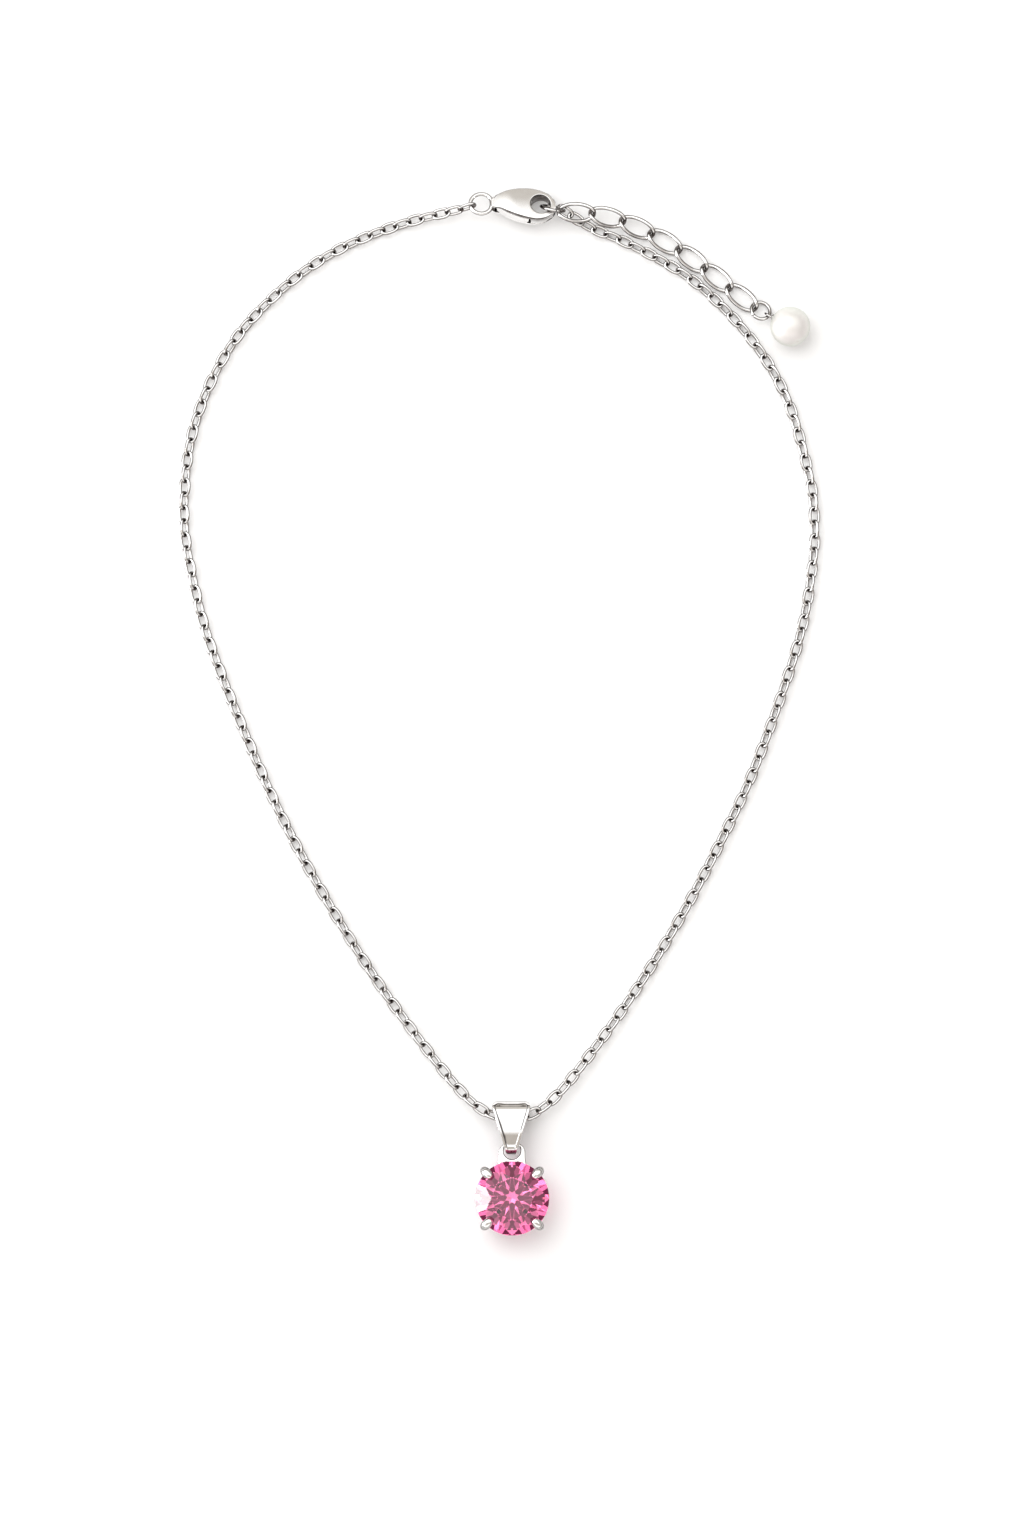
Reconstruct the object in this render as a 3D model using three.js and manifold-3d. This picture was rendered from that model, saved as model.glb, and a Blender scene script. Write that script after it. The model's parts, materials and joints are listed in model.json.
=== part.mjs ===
// A fine cable-chain necklace lying flat, in millimetres, with +Z up.
// The loop of chain carries a four-prong stone pendant on a tapered bail. A lobster clasp hooks
// into a jump ring, which also carries an extender of curb links that ends in one drilled pearl.
// +Y points from the pendant to the clasp, and the surface that the necklace lies on is z = 0.

import * as THREE from 'three';
import { mergeVertices } from 'three/addons/utils/BufferGeometryUtils.js';
import Module from 'manifold-3d';

const wasm = await Module();
wasm.setup();

const degrees = THREE.MathUtils.degToRad;

// ---------------------------------------------------------------- driving dimensions

const CHAIN = {
  linksLeftEnd: 1, // the link in the clasp's eye
  leftRuns: 7,
  linksPerLeftRun: 12,
  centreLinks: 4, // the links inside the bail
  rightRuns: 8,
  linksPerRightRun: 10,
  linksRightEnd: 1, // the link in the jump ring
  linkWidth: 2.0,
  wire: 0.45,
  runGap: 0.15, // free space that a run keeps at each of its ends
  endLinkGap: 0.75, // the same, where it meets the link that hangs in the clasp or the jump ring
};

// The middle line of the chain, from the clasp's eye, down the left strand, through the bail
// and up the right strand to the jump ring.
const CHAIN_ROUTE = [
  [-4.2, 82.3, 2.7], [-7.2, 81.4, 2.15], [-12.1, 80.3, 1.3], [-16.9, 78.9, 0.95], [-21.8, 77.1, 0.95],
  [-26.7, 74.8, 0.95], [-31.6, 71.7, 0.95], [-36.4, 67.7, 0.95], [-41.3, 62.6, 0.95], [-45.0, 57.2, 0.95],
  [-48.1, 50.7, 0.95], [-50.1, 44.2, 0.95], [-51.0, 37.7, 0.95], [-51.2, 31.2, 0.95], [-50.4, 24.7, 0.95],
  [-47.2, 11.7, 0.95], [-39.5, -7.8, 0.95], [-33.4, -20.8, 0.95], [-26.1, -33.8, 0.95],
  [-17.7, -46.8, 0.95], [-7.8, -59.8, 1.7], [-2.5, -64.8, 2.3], [1.9, -65.95, 2.35], [6.3, -64.8, 2.3],
  [11.5, -59.8, 1.7], [21.1, -46.8, 0.95], [29.2, -33.8, 0.95], [36.1, -20.8, 0.95], [42.0, -7.8, 0.95],
  [48.7, 11.7, 0.95], [51.0, 24.7, 0.95], [51.2, 31.2, 0.95], [50.5, 37.7, 0.95], [46.8, 50.7, 0.95],
  [40.7, 60.9, 0.95], [31.6, 70.0, 0.95], [21.4, 75.9, 0.9], [14.8, 78.7, 0.9], [9.8, 81.9, 1.55],
];

const CLASP = {
  eyeCentre: [-2.9, 82.5, 2.5],
  yaw: degrees(-3), // the clasp's long axis, from the eye to the hook
  roll: degrees(25), // it lies tipped over towards +Y
  eyeRadius: 1.78, // to the middle of the wire
  eyeWire: 0.33, // radius of the eye's wire
  holeAt: 9.6, // from the eye to the middle of the hook's hole
  holeRadius: 1.6,
  thickness: 3.0,
  hookThickness: 1.5,
  pivotAt: [3.1, -0.35],
  pinRadius: 0.36,
  fit: 0.07, // free space round the pin
};

const JUMP_RING = {
  centre: [8.7, 81.75, 2.5],
  yaw: degrees(-11),
  lean: degrees(10),
  radius: 1.9,
  wire: 0.3,
};

const CURB = {
  halfLength: 2.915, // to the middle of the wire
  halfWidth: 1.4,
  wire: 0.31,
  twist: degrees(45), // of each end, in opposite directions
  pitch: 5.15,
};
// Where the links of the extender meet, from the jump ring to the end ring.
const EXTENDER_START = [9.95, 81.2, 3.0];
const EXTENDER_HEADINGS = [-3, -14, -23.5, -30, -35.5, -38.5, -38].map(degrees);
const EXTENDER_HEIGHTS = [3.0, 2.75, 1.9, 1.1, 0.95, 0.95, 0.95, 1.1];

const END_RING = { radius: 1.54, wire: 0.31, heading: degrees(-27) };
const PEARL = { radius: 3.25, bore: 0.42, heading: degrees(-29) };
const PEARL_PIN = { wire: 0.225, loopRadius: 0.72, neck: 0.12, beadRadius: 0.5, beadThickness: 0.3 };

const BAIL = {
  centreX: 1.95,
  top: -63.2,
  tip: -71.8,
  halfWidthTop: 3.1,
  halfWidthTip: 0.82,
  topRadius: 2.1, // half the depth of the bail's loop at its top
  axisHeight: 2.35,
  wall: 0.45,
};

const HEAD = {
  centre: [2.1, -78.9],
  loopCentreY: -71.3,
  loopOuter: 2.25,
  loopHole: 1.3,
  loopHeight: 3.0,
  loopThickness: 1.0,
  upperRail: { inner: 4.55, outer: 5.15, low: 2.5, high: 3.4 },
  baseRail: { inner: 2.6, outer: 3.5, low: 0, high: 0.8 },
  prongWidth: 1.45,
  prongTop: 6.35,
};

const STONE = {
  radius: 6.0,
  girdleHeight: 5.45,
  girdleThickness: 0.25,
  tableRadius: 3.4,
  crownHeight: 1.9,
  pavilionDepth: 5.05,
  mains: 8,
};

// ---------------------------------------------------------------- materials

const metal = (color, roughness) => new THREE.MeshStandardMaterial({ color, roughness, metalness: 1 });
const rhodium = metal(0xd8d6d3, 0.12);
const rhodiumSatin = metal(0xcfccc8, 0.22);
const pearlNacre = new THREE.MeshStandardMaterial({ color: 0xeeeeea, roughness: 0.28, metalness: 0 });
const pinkStone = new THREE.MeshStandardMaterial({ color: 0xd6528c, roughness: 0.04, metalness: 0 });

// ---------------------------------------------------------------- geometry helpers

/** A welded copy of a geometry that keeps positions only, so that shared corners are shared. */
function welded(geometry) {
  const bare = geometry.clone();
  bare.deleteAttribute('normal');
  bare.deleteAttribute('uv');
  return mergeVertices(bare, 1e-4);
}

/** A manifold solid made from a closed geometry. */
function solid(geometry) {
  const closed = welded(geometry);
  return new wasm.Manifold(new wasm.Mesh({
    numProp: 3,
    vertProperties: new Float32Array(closed.attributes.position.array),
    triVerts: new Uint32Array(closed.index.array),
  }));
}

/** The three.js geometry of a manifold solid. */
function geometryOf(manifold) {
  const mesh = manifold.getMesh();
  const geometry = new THREE.BufferGeometry();
  geometry.setAttribute('position', new THREE.BufferAttribute(mesh.vertProperties, 3));
  geometry.setIndex(new THREE.BufferAttribute(mesh.triVerts, 1));
  geometry.computeVertexNormals();
  return geometry;
}

/** A round section with flat sides up and down. */
function roundSection(radius, sides) {
  const shape = new THREE.Shape();
  for (let i = 0; i < sides; i += 1) {
    const angle = (2 * Math.PI * (i + 0.5)) / sides;
    const corner = new THREE.Vector2(radius * Math.cos(angle), radius * Math.sin(angle));
    if (i === 0) shape.moveTo(corner.x, corner.y);
    else shape.lineTo(corner.x, corner.y);
  }
  shape.closePath();
  return shape;
}

/** A solid rod along an open curve. */
function rod(curve, radius, sides, steps) {
  return new THREE.ExtrudeGeometry(roundSection(radius, sides), { extrudePath: curve, steps, bevelEnabled: false });
}

/** A closed curve from a function of the angle round it. */
class RoundCurve extends THREE.Curve {
  constructor(pointAtAngle) {
    super();
    this.pointAtAngle = pointAtAngle;
  }

  getPoint(t, target = new THREE.Vector3()) {
    return target.copy(this.pointAtAngle(2 * Math.PI * t));
  }
}

/** A wire bent into a closed ring. */
function wireRing(pointAtAngle, radius, sides, steps) {
  return new THREE.TubeGeometry(new RoundCurve(pointAtAngle), steps, radius, sides, true);
}

/** A point on a long oval whose ends are rounder than an ellipse's. */
function longOval(angle, halfLength, halfWidth) {
  const roundness = 2 / 2.6;
  const spread = (value) => Math.sign(value) * Math.abs(value) ** roundness;
  return new THREE.Vector3(halfLength * spread(Math.cos(angle)), halfWidth * spread(Math.sin(angle)), 0);
}

/** The matrix of a frame at a point, with x along a direction, rolled about it from level. */
function frameAlong(origin, direction, roll = 0) {
  const x = direction.clone().normalize();
  const y = new THREE.Vector3(0, 0, 1).cross(x).normalize();
  const z = new THREE.Vector3().crossVectors(x, y);
  return new THREE.Matrix4().makeBasis(x, y, z).setPosition(origin)
    .multiply(new THREE.Matrix4().makeRotationX(roll));
}

/** A band between two outlines of the same number of points. */
function band(outer, inner, depth) {
  const shape = new THREE.Shape(outer);
  if (inner) shape.holes.push(new THREE.Path(inner));
  return new THREE.ExtrudeGeometry(shape, { depth, bevelEnabled: false, curveSegments: 8 });
}

/** Points on an arc, both ends included. */
function arc(cx, cy, radius, from, to, steps) {
  const points = [];
  for (let i = 0; i <= steps; i += 1) {
    const angle = from + ((to - from) * i) / steps;
    points.push(new THREE.Vector2(cx + radius * Math.cos(angle), cy + radius * Math.sin(angle)));
  }
  return points;
}

// ---------------------------------------------------------------- the assembly

const necklace = new THREE.Group();
necklace.name = 'necklace';
const pivots = {}; // where each joint turns, for whoever drives the model

function addPiece(name, geometry, material, parent = necklace) {
  const piece = new THREE.Mesh(geometry, material);
  piece.name = name;
  parent.add(piece);
  return piece;
}

// ---------------------------------------------------------------- main chain

const route = new THREE.CatmullRomCurve3(
  CHAIN_ROUTE.map(([x, y, z]) => new THREE.Vector3(x, y, z)), false, 'catmullrom', 0.5);
route.arcLengthDivisions = 4000;

const linkCount = CHAIN.linksLeftEnd + CHAIN.leftRuns * CHAIN.linksPerLeftRun + CHAIN.centreLinks
  + CHAIN.rightRuns * CHAIN.linksPerRightRun + CHAIN.linksRightEnd;
const linkPitch = route.getLength() / linkCount;

/** The point where link number i starts, counted from the clasp's eye. */
const linkStart = (i) => route.getPointAt(i / linkCount);

/** The part of the chain's route between two link numbers, less the free space at each end. */
class RunCurve extends THREE.Curve {
  constructor(firstLink, lastLink) {
    super();
    const gapBefore = firstLink === CHAIN.linksLeftEnd ? CHAIN.endLinkGap : CHAIN.runGap;
    const gapAfter = lastLink === linkCount - CHAIN.linksRightEnd ? CHAIN.endLinkGap : CHAIN.runGap;
    this.from = (firstLink + gapBefore / linkPitch) / linkCount;
    this.to = (lastLink - gapAfter / linkPitch) / linkCount;
  }

  getPoint(t, target = new THREE.Vector3()) {
    return target.copy(route.getPointAt(this.from + (this.to - this.from) * t));
  }
}

/** A run of links as the rod that encloses them. */
function addRun(name, firstLink, links, steps) {
  const curve = new RunCurve(firstLink, firstLink + links);
  const enclosingRadius = 0.45 * CHAIN.linkWidth;
  addPiece(name, rod(curve, enclosingRadius, 8, steps), rhodium);
}

/** One oval cable link whose middle line runs from one link start to the next. */
function addChainLink(name, linkNumber, roll) {
  const start = linkStart(linkNumber);
  const end = linkStart(linkNumber + 1);
  const wireRadius = CHAIN.wire / 2;
  const halfLength = linkPitch / 2 + wireRadius;
  const halfWidth = CHAIN.linkWidth / 2 - wireRadius;
  const oval = (angle) => longOval(angle, halfLength, halfWidth);
  const piece = addPiece(name, wireRing(oval, wireRadius, 6, 20), rhodium);
  const middle = start.clone().add(end).multiplyScalar(0.5);
  piece.applyMatrix4(frameAlong(middle, end.clone().sub(start), roll));
}

addChainLink('left_end_link', 0, degrees(90) + CLASP.roll);
let link = CHAIN.linksLeftEnd;
for (let i = CHAIN.leftRuns; i >= 1; i -= 1) {
  pivots[`left_run_${i}_top`] = linkStart(link);
  addRun(`left_chain_run_${i}`, link, CHAIN.linksPerLeftRun, 9);
  link += CHAIN.linksPerLeftRun;
  pivots[`left_run_${i}`] = linkStart(link);
}
addRun('centre_chain_run', link, CHAIN.centreLinks, 10);
link += CHAIN.centreLinks;
for (let i = 1; i <= CHAIN.rightRuns; i += 1) {
  pivots[`right_run_${i}`] = linkStart(link);
  addRun(`right_chain_run_${i}`, link, CHAIN.linksPerRightRun, 8);
  link += CHAIN.linksPerRightRun;
}
addChainLink('right_end_link', link, degrees(-28));
pivots.clasp = linkStart(0);
pivots.jump_ring = linkStart(linkCount);

// ---------------------------------------------------------------- clasp

const clasp = new THREE.Group();
clasp.position.set(...CLASP.eyeCentre);
clasp.rotation.set(-CLASP.roll, 0, CLASP.yaw, 'ZYX');
necklace.add(clasp);
clasp.updateWorldMatrix(true, false);
pivots.lever = new THREE.Vector3(...CLASP.pivotAt, 0).applyMatrix4(clasp.matrixWorld);
pivots.leverAxis = new THREE.Vector3(0, 0, 1).transformDirection(clasp.matrixWorld);

// Outline of the body seen on its face, with x from the eye to the hook.
const CLASP_OUTLINE = [
  [1.75, 0.75], [3.3, 1.85], [5.2, 2.45], [7.2, 2.7], [9.2, 2.55], [10.8, 1.95], [11.8, 0.95],
  [12.15, -0.3], [11.7, -1.5], [10.6, -2.35], [9.2, -2.75], [7.9, -2.7], [6.2, -2.35], [4.6, -1.8],
  [3.2, -1.15], [1.75, -0.75],
];

/** The face outline, smoothed and extruded between two heights. */
function claspPlate(points, low, high) {
  const smooth = new THREE.SplineCurve(points.map(([x, y]) => new THREE.Vector2(x, y))).getPoints(34);
  const geometry = band(smooth, null, high - low);
  geometry.translate(0, 0, low);
  return solid(geometry);
}

/** A straight-sided outline extruded between two heights. */
function plate(points, low, high) {
  const geometry = band(points.map(([x, y]) => new THREE.Vector2(x, y)), null, high - low);
  geometry.translate(0, 0, low);
  return solid(geometry);
}

function cylinder(x, y, radius, low, high, sides) {
  const geometry = new THREE.CylinderGeometry(radius, radius, high - low, sides);
  geometry.rotateX(Math.PI / 2);
  geometry.translate(x, y, (low + high) / 2);
  return solid(geometry);
}

/** The clasp's side view, thickest behind the hook: it cuts the plate to a lens shape. */
function claspSideProfile() {
  const half = CLASP.thickness / 2;
  const hook = CLASP.hookThickness / 2;
  const neck = 0.42;
  const upper = [[1.2, neck], [2.6, 1.05], [4.2, 1.4], [5.8, half], [8.0, 1.35], [10.2, 1.1], [12.4, hook]];
  const lower = upper.map(([x, z]) => [x, -z]).reverse();
  const points = [...upper, ...lower].map(([x, z]) => new THREE.Vector2(x, z));
  const geometry = band(points, null, 8);
  geometry.rotateX(Math.PI / 2);
  geometry.translate(0, 4, 0);
  return solid(geometry);
}

const SLOT = { low: -0.85, high: 0.85 };

function claspBody() {
  const eyeRing = new THREE.TorusGeometry(CLASP.eyeRadius, CLASP.eyeWire, 8, 28);
  const full = CLASP.thickness;
  const [px, py] = CLASP.pivotAt;
  const hookTip = [[8.55, 0.4], [8.42, -1.0], [8.25, -1.9], [7.95, -3.2]];
  const slotOutline = [[2.25, 0.5], [5.5, 1.0], ...hookTip, [3.0, -3.2], [2.25, -0.9]];
  const mouthOutline = [[8.1, -0.5], ...hookTip.slice(1), [7.1, -3.2], [7.3, -2.0], [7.55, -1.2]];
  return claspPlate(CLASP_OUTLINE, -full, full)
    .intersect(claspSideProfile())
    .add(solid(eyeRing))
    .subtract(cylinder(CLASP.holeAt, 0, CLASP.holeRadius, -full, full, 28))
    .subtract(plate(slotOutline, SLOT.low, SLOT.high))
    .subtract(plate(mouthOutline, -full, full))
    .subtract(cylinder(px, py, CLASP.pinRadius + CLASP.fit, -full, 1.02, 16));
}

// The lever lies in the body's slot, and its thumb edge stands proud of the body.
const LEVER_OUTLINE = [
  [2.35, -0.35], [2.5, 0.1], [3.0, 0.4], [3.6, 0.3], [4.6, -0.1], [6.2, -0.8], [7.5, -1.4], [8.1, -1.7],
  [7.75, -2.65], [6.7, -2.75], [5.4, -2.6], [4.1, -2.15], [3.2, -1.35], [2.6, -0.95],
];

function claspLever() {
  const [px, py] = CLASP.pivotAt;
  return plate(LEVER_OUTLINE, -0.35, 0.75)
    .subtract(cylinder(px, py, CLASP.pinRadius + CLASP.fit, -1, 1, 16));
}

/** A torsion spring of two turns round the pin, under the lever. */
function claspSpring() {
  const [px, py] = CLASP.pivotAt;
  const turns = 1.6;
  const radius = CLASP.pinRadius + 0.22;
  const wire = 0.07;
  class Coil extends THREE.Curve {
    getPoint(t, target = new THREE.Vector3()) {
      const angle = 2 * Math.PI * turns * t;
      return target.set(px + radius * Math.cos(angle), py + radius * Math.sin(angle), -0.73 + 0.27 * t);
    }
  }
  return rod(new Coil(), wire, 6, 26);
}

const [pinX, pinY] = CLASP.pivotAt;
addPiece('clasp_body', geometryOf(claspBody()), rhodium, clasp);
addPiece('clasp_lever', geometryOf(claspLever()), rhodium, clasp);
addPiece('clasp_pivot_pin', geometryOf(cylinder(pinX, pinY, CLASP.pinRadius, -1.1, 0.95, 16)), rhodiumSatin, clasp);
addPiece('clasp_spring', claspSpring(), rhodiumSatin, clasp);

// ---------------------------------------------------------------- jump ring

/** A round ring in its own x-z plane. */
function standingRing(radius, wire) {
  const circle = (a) => new THREE.Vector3(radius * Math.cos(a), 0, radius * Math.sin(a));
  return wireRing(circle, wire, 7, 26);
}

const jumpRing = addPiece('jump_ring', standingRing(JUMP_RING.radius, JUMP_RING.wire), rhodium);
jumpRing.position.set(...JUMP_RING.centre);
jumpRing.rotation.set(JUMP_RING.lean, 0, JUMP_RING.yaw, 'ZYX');

// ---------------------------------------------------------------- extender

/** The middle line of a curb link: a long oval, each end twisted about its length. */
function curbMiddleLine(angle) {
  const { x, y } = longOval(angle, CURB.halfLength, CURB.halfWidth);
  const turn = (CURB.twist * x) / CURB.halfLength;
  return new THREE.Vector3(x, y * Math.cos(turn), y * Math.sin(turn));
}

let joinPoint = new THREE.Vector3(...EXTENDER_START);
EXTENDER_HEADINGS.forEach((heading, i) => {
  const rise = EXTENDER_HEIGHTS[i + 1] - EXTENDER_HEIGHTS[i];
  const level = Math.sqrt(CURB.pitch ** 2 - rise ** 2);
  const step = new THREE.Vector3(level * Math.cos(heading), level * Math.sin(heading), rise);
  const piece = addPiece(`extender_link_${i + 1}`, wireRing(curbMiddleLine, CURB.wire, 6, 28), rhodium);
  piece.applyMatrix4(frameAlong(joinPoint.clone().addScaledVector(step, 0.5), step));
  pivots[`extender_${i + 1}`] = joinPoint.clone();
  joinPoint = joinPoint.clone().add(step);
});
pivots.end_ring = joinPoint.clone();

// The end ring lies nearly level, with the last curb link's twisted end through it.
const ringDirection = new THREE.Vector3(Math.cos(END_RING.heading), Math.sin(END_RING.heading), 0);
const ringCentre = joinPoint.clone().addScaledVector(ringDirection, END_RING.radius - END_RING.wire - 0.05);
const flatCircle = (a) => new THREE.Vector3(END_RING.radius * Math.cos(a), END_RING.radius * Math.sin(a), 0);
const endRing = addPiece('end_ring', wireRing(flatCircle, END_RING.wire, 6, 24), rhodium);
endRing.applyMatrix4(frameAlong(ringCentre, ringDirection, degrees(-30)));

// ---------------------------------------------------------------- pearl drop

// The pin runs through the pearl and ends in a loop round the end ring and in a small flat bead.
const pearlPlan = new THREE.Vector3(Math.cos(PEARL.heading), Math.sin(PEARL.heading), 0);
const ringWire = ringCentre.clone().addScaledVector(pearlPlan, END_RING.radius);
const loopCentreFromPearl = PEARL.radius + PEARL_PIN.neck + PEARL_PIN.loopRadius + PEARL_PIN.wire;
const wireFromPearl = loopCentreFromPearl + PEARL_PIN.loopRadius - PEARL_PIN.wire - END_RING.wire - 0.04;
const pearlRise = PEARL.radius - ringWire.z;
const pearlReach = Math.sqrt(wireFromPearl ** 2 - pearlRise ** 2);
const pearlCentre = ringWire.clone().addScaledVector(pearlPlan, pearlReach).setZ(PEARL.radius);
const pearlAxis = pearlCentre.clone().sub(ringWire).normalize();
pivots.pearl_pin = ringWire.clone();
pivots.pearl = pearlCentre.clone();
pivots.pearlAxis = pearlAxis.clone();

function pearl() {
  const ball = new THREE.SphereGeometry(PEARL.radius, 28, 18);
  ball.rotateZ(Math.PI / 2);
  const bore = new THREE.CylinderGeometry(PEARL.bore, PEARL.bore, 3 * PEARL.radius, 12);
  bore.rotateZ(Math.PI / 2);
  return solid(ball).subtract(solid(bore));
}

function pearlPin() {
  const past = PEARL.radius + PEARL_PIN.neck;
  const stem = new THREE.CylinderGeometry(PEARL_PIN.wire, PEARL_PIN.wire, 2 * past + 0.2, 10);
  stem.rotateZ(Math.PI / 2);
  const loop = standingRing(PEARL_PIN.loopRadius, PEARL_PIN.wire);
  loop.translate(-loopCentreFromPearl, 0, 0);
  const bead = new THREE.CylinderGeometry(PEARL_PIN.beadRadius, PEARL_PIN.beadRadius, PEARL_PIN.beadThickness, 14);
  bead.rotateZ(Math.PI / 2);
  bead.translate(past + 0.1, 0, 0);
  const wrap = new THREE.CylinderGeometry(0.36, 0.36, 0.3, 12);
  wrap.rotateZ(Math.PI / 2);
  wrap.translate(-past - 0.1, 0, 0);
  return solid(stem).add(solid(loop)).add(solid(wrap)).add(solid(bead));
}

const dropFrame = frameAlong(pearlCentre, pearlAxis);
addPiece('pearl_pin', geometryOf(pearlPin()), rhodium).applyMatrix4(dropFrame);
addPiece('pearl', geometryOf(pearl()), pearlNacre).applyMatrix4(dropFrame);

// ---------------------------------------------------------------- bail

/** The bail's side view as a closed teardrop, at a given distance inside its outer face. */
function bailProfile(inset, tipY, tipZ, tipRadius) {
  const cy = BAIL.top - BAIL.topRadius;
  const top = arc(cy, BAIL.axisHeight, BAIL.topRadius - inset, -Math.PI / 2, Math.PI / 2, 12);
  const tip = arc(tipY, tipZ, tipRadius, Math.PI / 2, (3 * Math.PI) / 2, 8);
  return [...top, ...tip];
}

function bail() {
  const tipRadius = 1.45;
  const tipY = BAIL.tip + tipRadius;
  const outer = bailProfile(0, tipY, HEAD.loopHeight, tipRadius);
  const inner = bailProfile(BAIL.wall, tipY, HEAD.loopHeight, tipRadius - BAIL.wall);
  const sideView = band(outer, inner, 2 * BAIL.halfWidthTop + 1);
  // The profile is drawn in (y, z): turn it so that its depth runs along x.
  sideView.applyMatrix4(new THREE.Matrix4().makeBasis(
    new THREE.Vector3(0, 1, 0), new THREE.Vector3(0, 0, 1), new THREE.Vector3(1, 0, 0)));
  sideView.translate(BAIL.centreX - BAIL.halfWidthTop - 0.5, 0, 0);
  const w = BAIL.halfWidthTop;
  const n = BAIL.halfWidthTip;
  const front = [
    [-w + 0.5, BAIL.top + 0.1], [w - 0.5, BAIL.top + 0.1], [w, BAIL.top - 0.6], [w - 0.05, BAIL.top - 1.5],
    [n + 0.25, BAIL.tip + 1.4], [n - 0.3, BAIL.tip - 0.1], [-n + 0.3, BAIL.tip - 0.1],
    [-n - 0.25, BAIL.tip + 1.4], [-w + 0.05, BAIL.top - 1.5], [-w, BAIL.top - 0.6],
  ].reverse();
  const frontView = band(front.map(([x, y]) => new THREE.Vector2(BAIL.centreX + x, y)), null, 6);
  return solid(sideView).intersect(solid(frontView));
}

addPiece('bail', geometryOf(bail()), rhodium);
pivots.bail = new THREE.Vector3(BAIL.centreX, BAIL.top - BAIL.topRadius, BAIL.axisHeight);

// ---------------------------------------------------------------- pendant head and stone

const head = new THREE.Group();
head.position.set(...HEAD.centre, 0);
necklace.add(head);

/** A flat ring with a square section, between two radii and two heights. */
function railGeometry({ inner, outer, low, high }) {
  const section = [[inner, low], [outer, low], [outer, high], [inner, high], [inner, low]];
  const geometry = new THREE.LatheGeometry(section.map(([r, z]) => new THREE.Vector2(r, z)), 32);
  geometry.rotateX(Math.PI / 2);
  return geometry;
}

/** A prong's side view: up outside the rails, over the girdle and onto the crown. */
function prongGeometry() {
  const top = HEAD.prongTop;
  const side = [
    [3.62, 0], [4.35, 0], [5.3, 1.6], [6.1, 3.2], [6.85, 4.9], [7.0, 5.8], [6.75, top], [6.2, top + 0.3],
    [5.5, top + 0.5], [4.95, top + 0.42], [4.85, top + 0.16], [5.3, top - 0.12], [6.06, 5.95], [6.12, 5.3],
    [5.6, 4.1], [5.25, 3.5], [5.25, 2.4], [4.55, 1.5], [3.62, 0.9],
  ];
  const geometry = band(side.map(([r, z]) => new THREE.Vector2(r, z)), null, HEAD.prongWidth);
  geometry.translate(0, 0, -HEAD.prongWidth / 2);
  geometry.rotateX(Math.PI / 2);
  return geometry;
}

function pendantLoop() {
  const low = HEAD.loopHeight - HEAD.loopThickness / 2;
  const reach = HEAD.loopCentreY - HEAD.centre[1];
  const foot = HEAD.upperRail.outer + 0.1;
  const disc = cylinder(0, reach, HEAD.loopOuter, low, low + HEAD.loopThickness, 32);
  const half = HEAD.loopOuter;
  const legs = plate([[-half, 4.2], [half, 4.2], [half, reach], [-half, reach]], low, low + HEAD.loopThickness);
  return disc.add(legs)
    .subtract(cylinder(0, reach, HEAD.loopHole, low - 1, low + 3, 24))
    .subtract(cylinder(0, 0, foot, low - 1, low + 3, 40));
}

/** A round brilliant: table, crown, girdle and pavilion, in eight-fold facets. */
function brilliant() {
  const s = STONE;
  const rings = [];
  const ring = (count, radius, height, phase) => {
    const start = rings.length;
    for (let i = 0; i < count; i += 1) {
      const angle = (2 * Math.PI * (i + phase)) / count;
      rings.push(new THREE.Vector3(radius * Math.cos(angle), radius * Math.sin(angle), height));
    }
    return start;
  };
  const girdleTop = s.girdleHeight + s.girdleThickness / 2;
  const girdleLow = s.girdleHeight - s.girdleThickness / 2;
  const n = s.mains;
  const table = ring(n, s.tableRadius, girdleTop + s.crownHeight, 0);
  const stars = ring(n, 4.55, girdleTop + 1.25, 0.5);
  const upper = ring(2 * n, s.radius, girdleTop, 0);
  const lower = ring(2 * n, s.radius, girdleLow, 0);
  const waist = ring(n, 1.4, girdleLow - 4.0, 0.5);
  rings.push(new THREE.Vector3(0, 0, girdleLow - s.pavilionDepth));
  rings.push(new THREE.Vector3(0, 0, girdleTop + s.crownHeight));
  const culet = rings.length - 2;
  const centre = rings.length - 1;
  const faces = [];
  for (let i = 0; i < n; i += 1) {
    const next = (i + 1) % n;
    const rim = 2 * i;
    const rimMid = (2 * i + 1) % (2 * n);
    const rimNext = (2 * i + 2) % (2 * n);
    faces.push([centre, table + i, table + next]);
    faces.push([table + i, stars + i, table + next]);
    faces.push([table + i, upper + rim, stars + i]);
    faces.push([stars + i, upper + rim, upper + rimMid]);
    faces.push([stars + i, upper + rimMid, upper + rimNext]);
    faces.push([table + next, stars + i, upper + rimNext]);
    faces.push([upper + rim, lower + rim, upper + rimMid]);
    faces.push([lower + rim, lower + rimMid, upper + rimMid]);
    faces.push([upper + rimMid, lower + rimMid, upper + rimNext]);
    faces.push([lower + rimMid, lower + rimNext, upper + rimNext]);
    faces.push([lower + rim, waist + i, lower + rimMid]);
    faces.push([lower + rimMid, waist + i, lower + rimNext]);
    faces.push([lower + rimNext, waist + i, waist + next]);
    faces.push([waist + i, culet, waist + next]);
  }
  const geometry = new THREE.BufferGeometry().setFromPoints(rings);
  geometry.setIndex(faces.flat());
  geometry.computeVertexNormals();
  return geometry;
}

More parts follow.
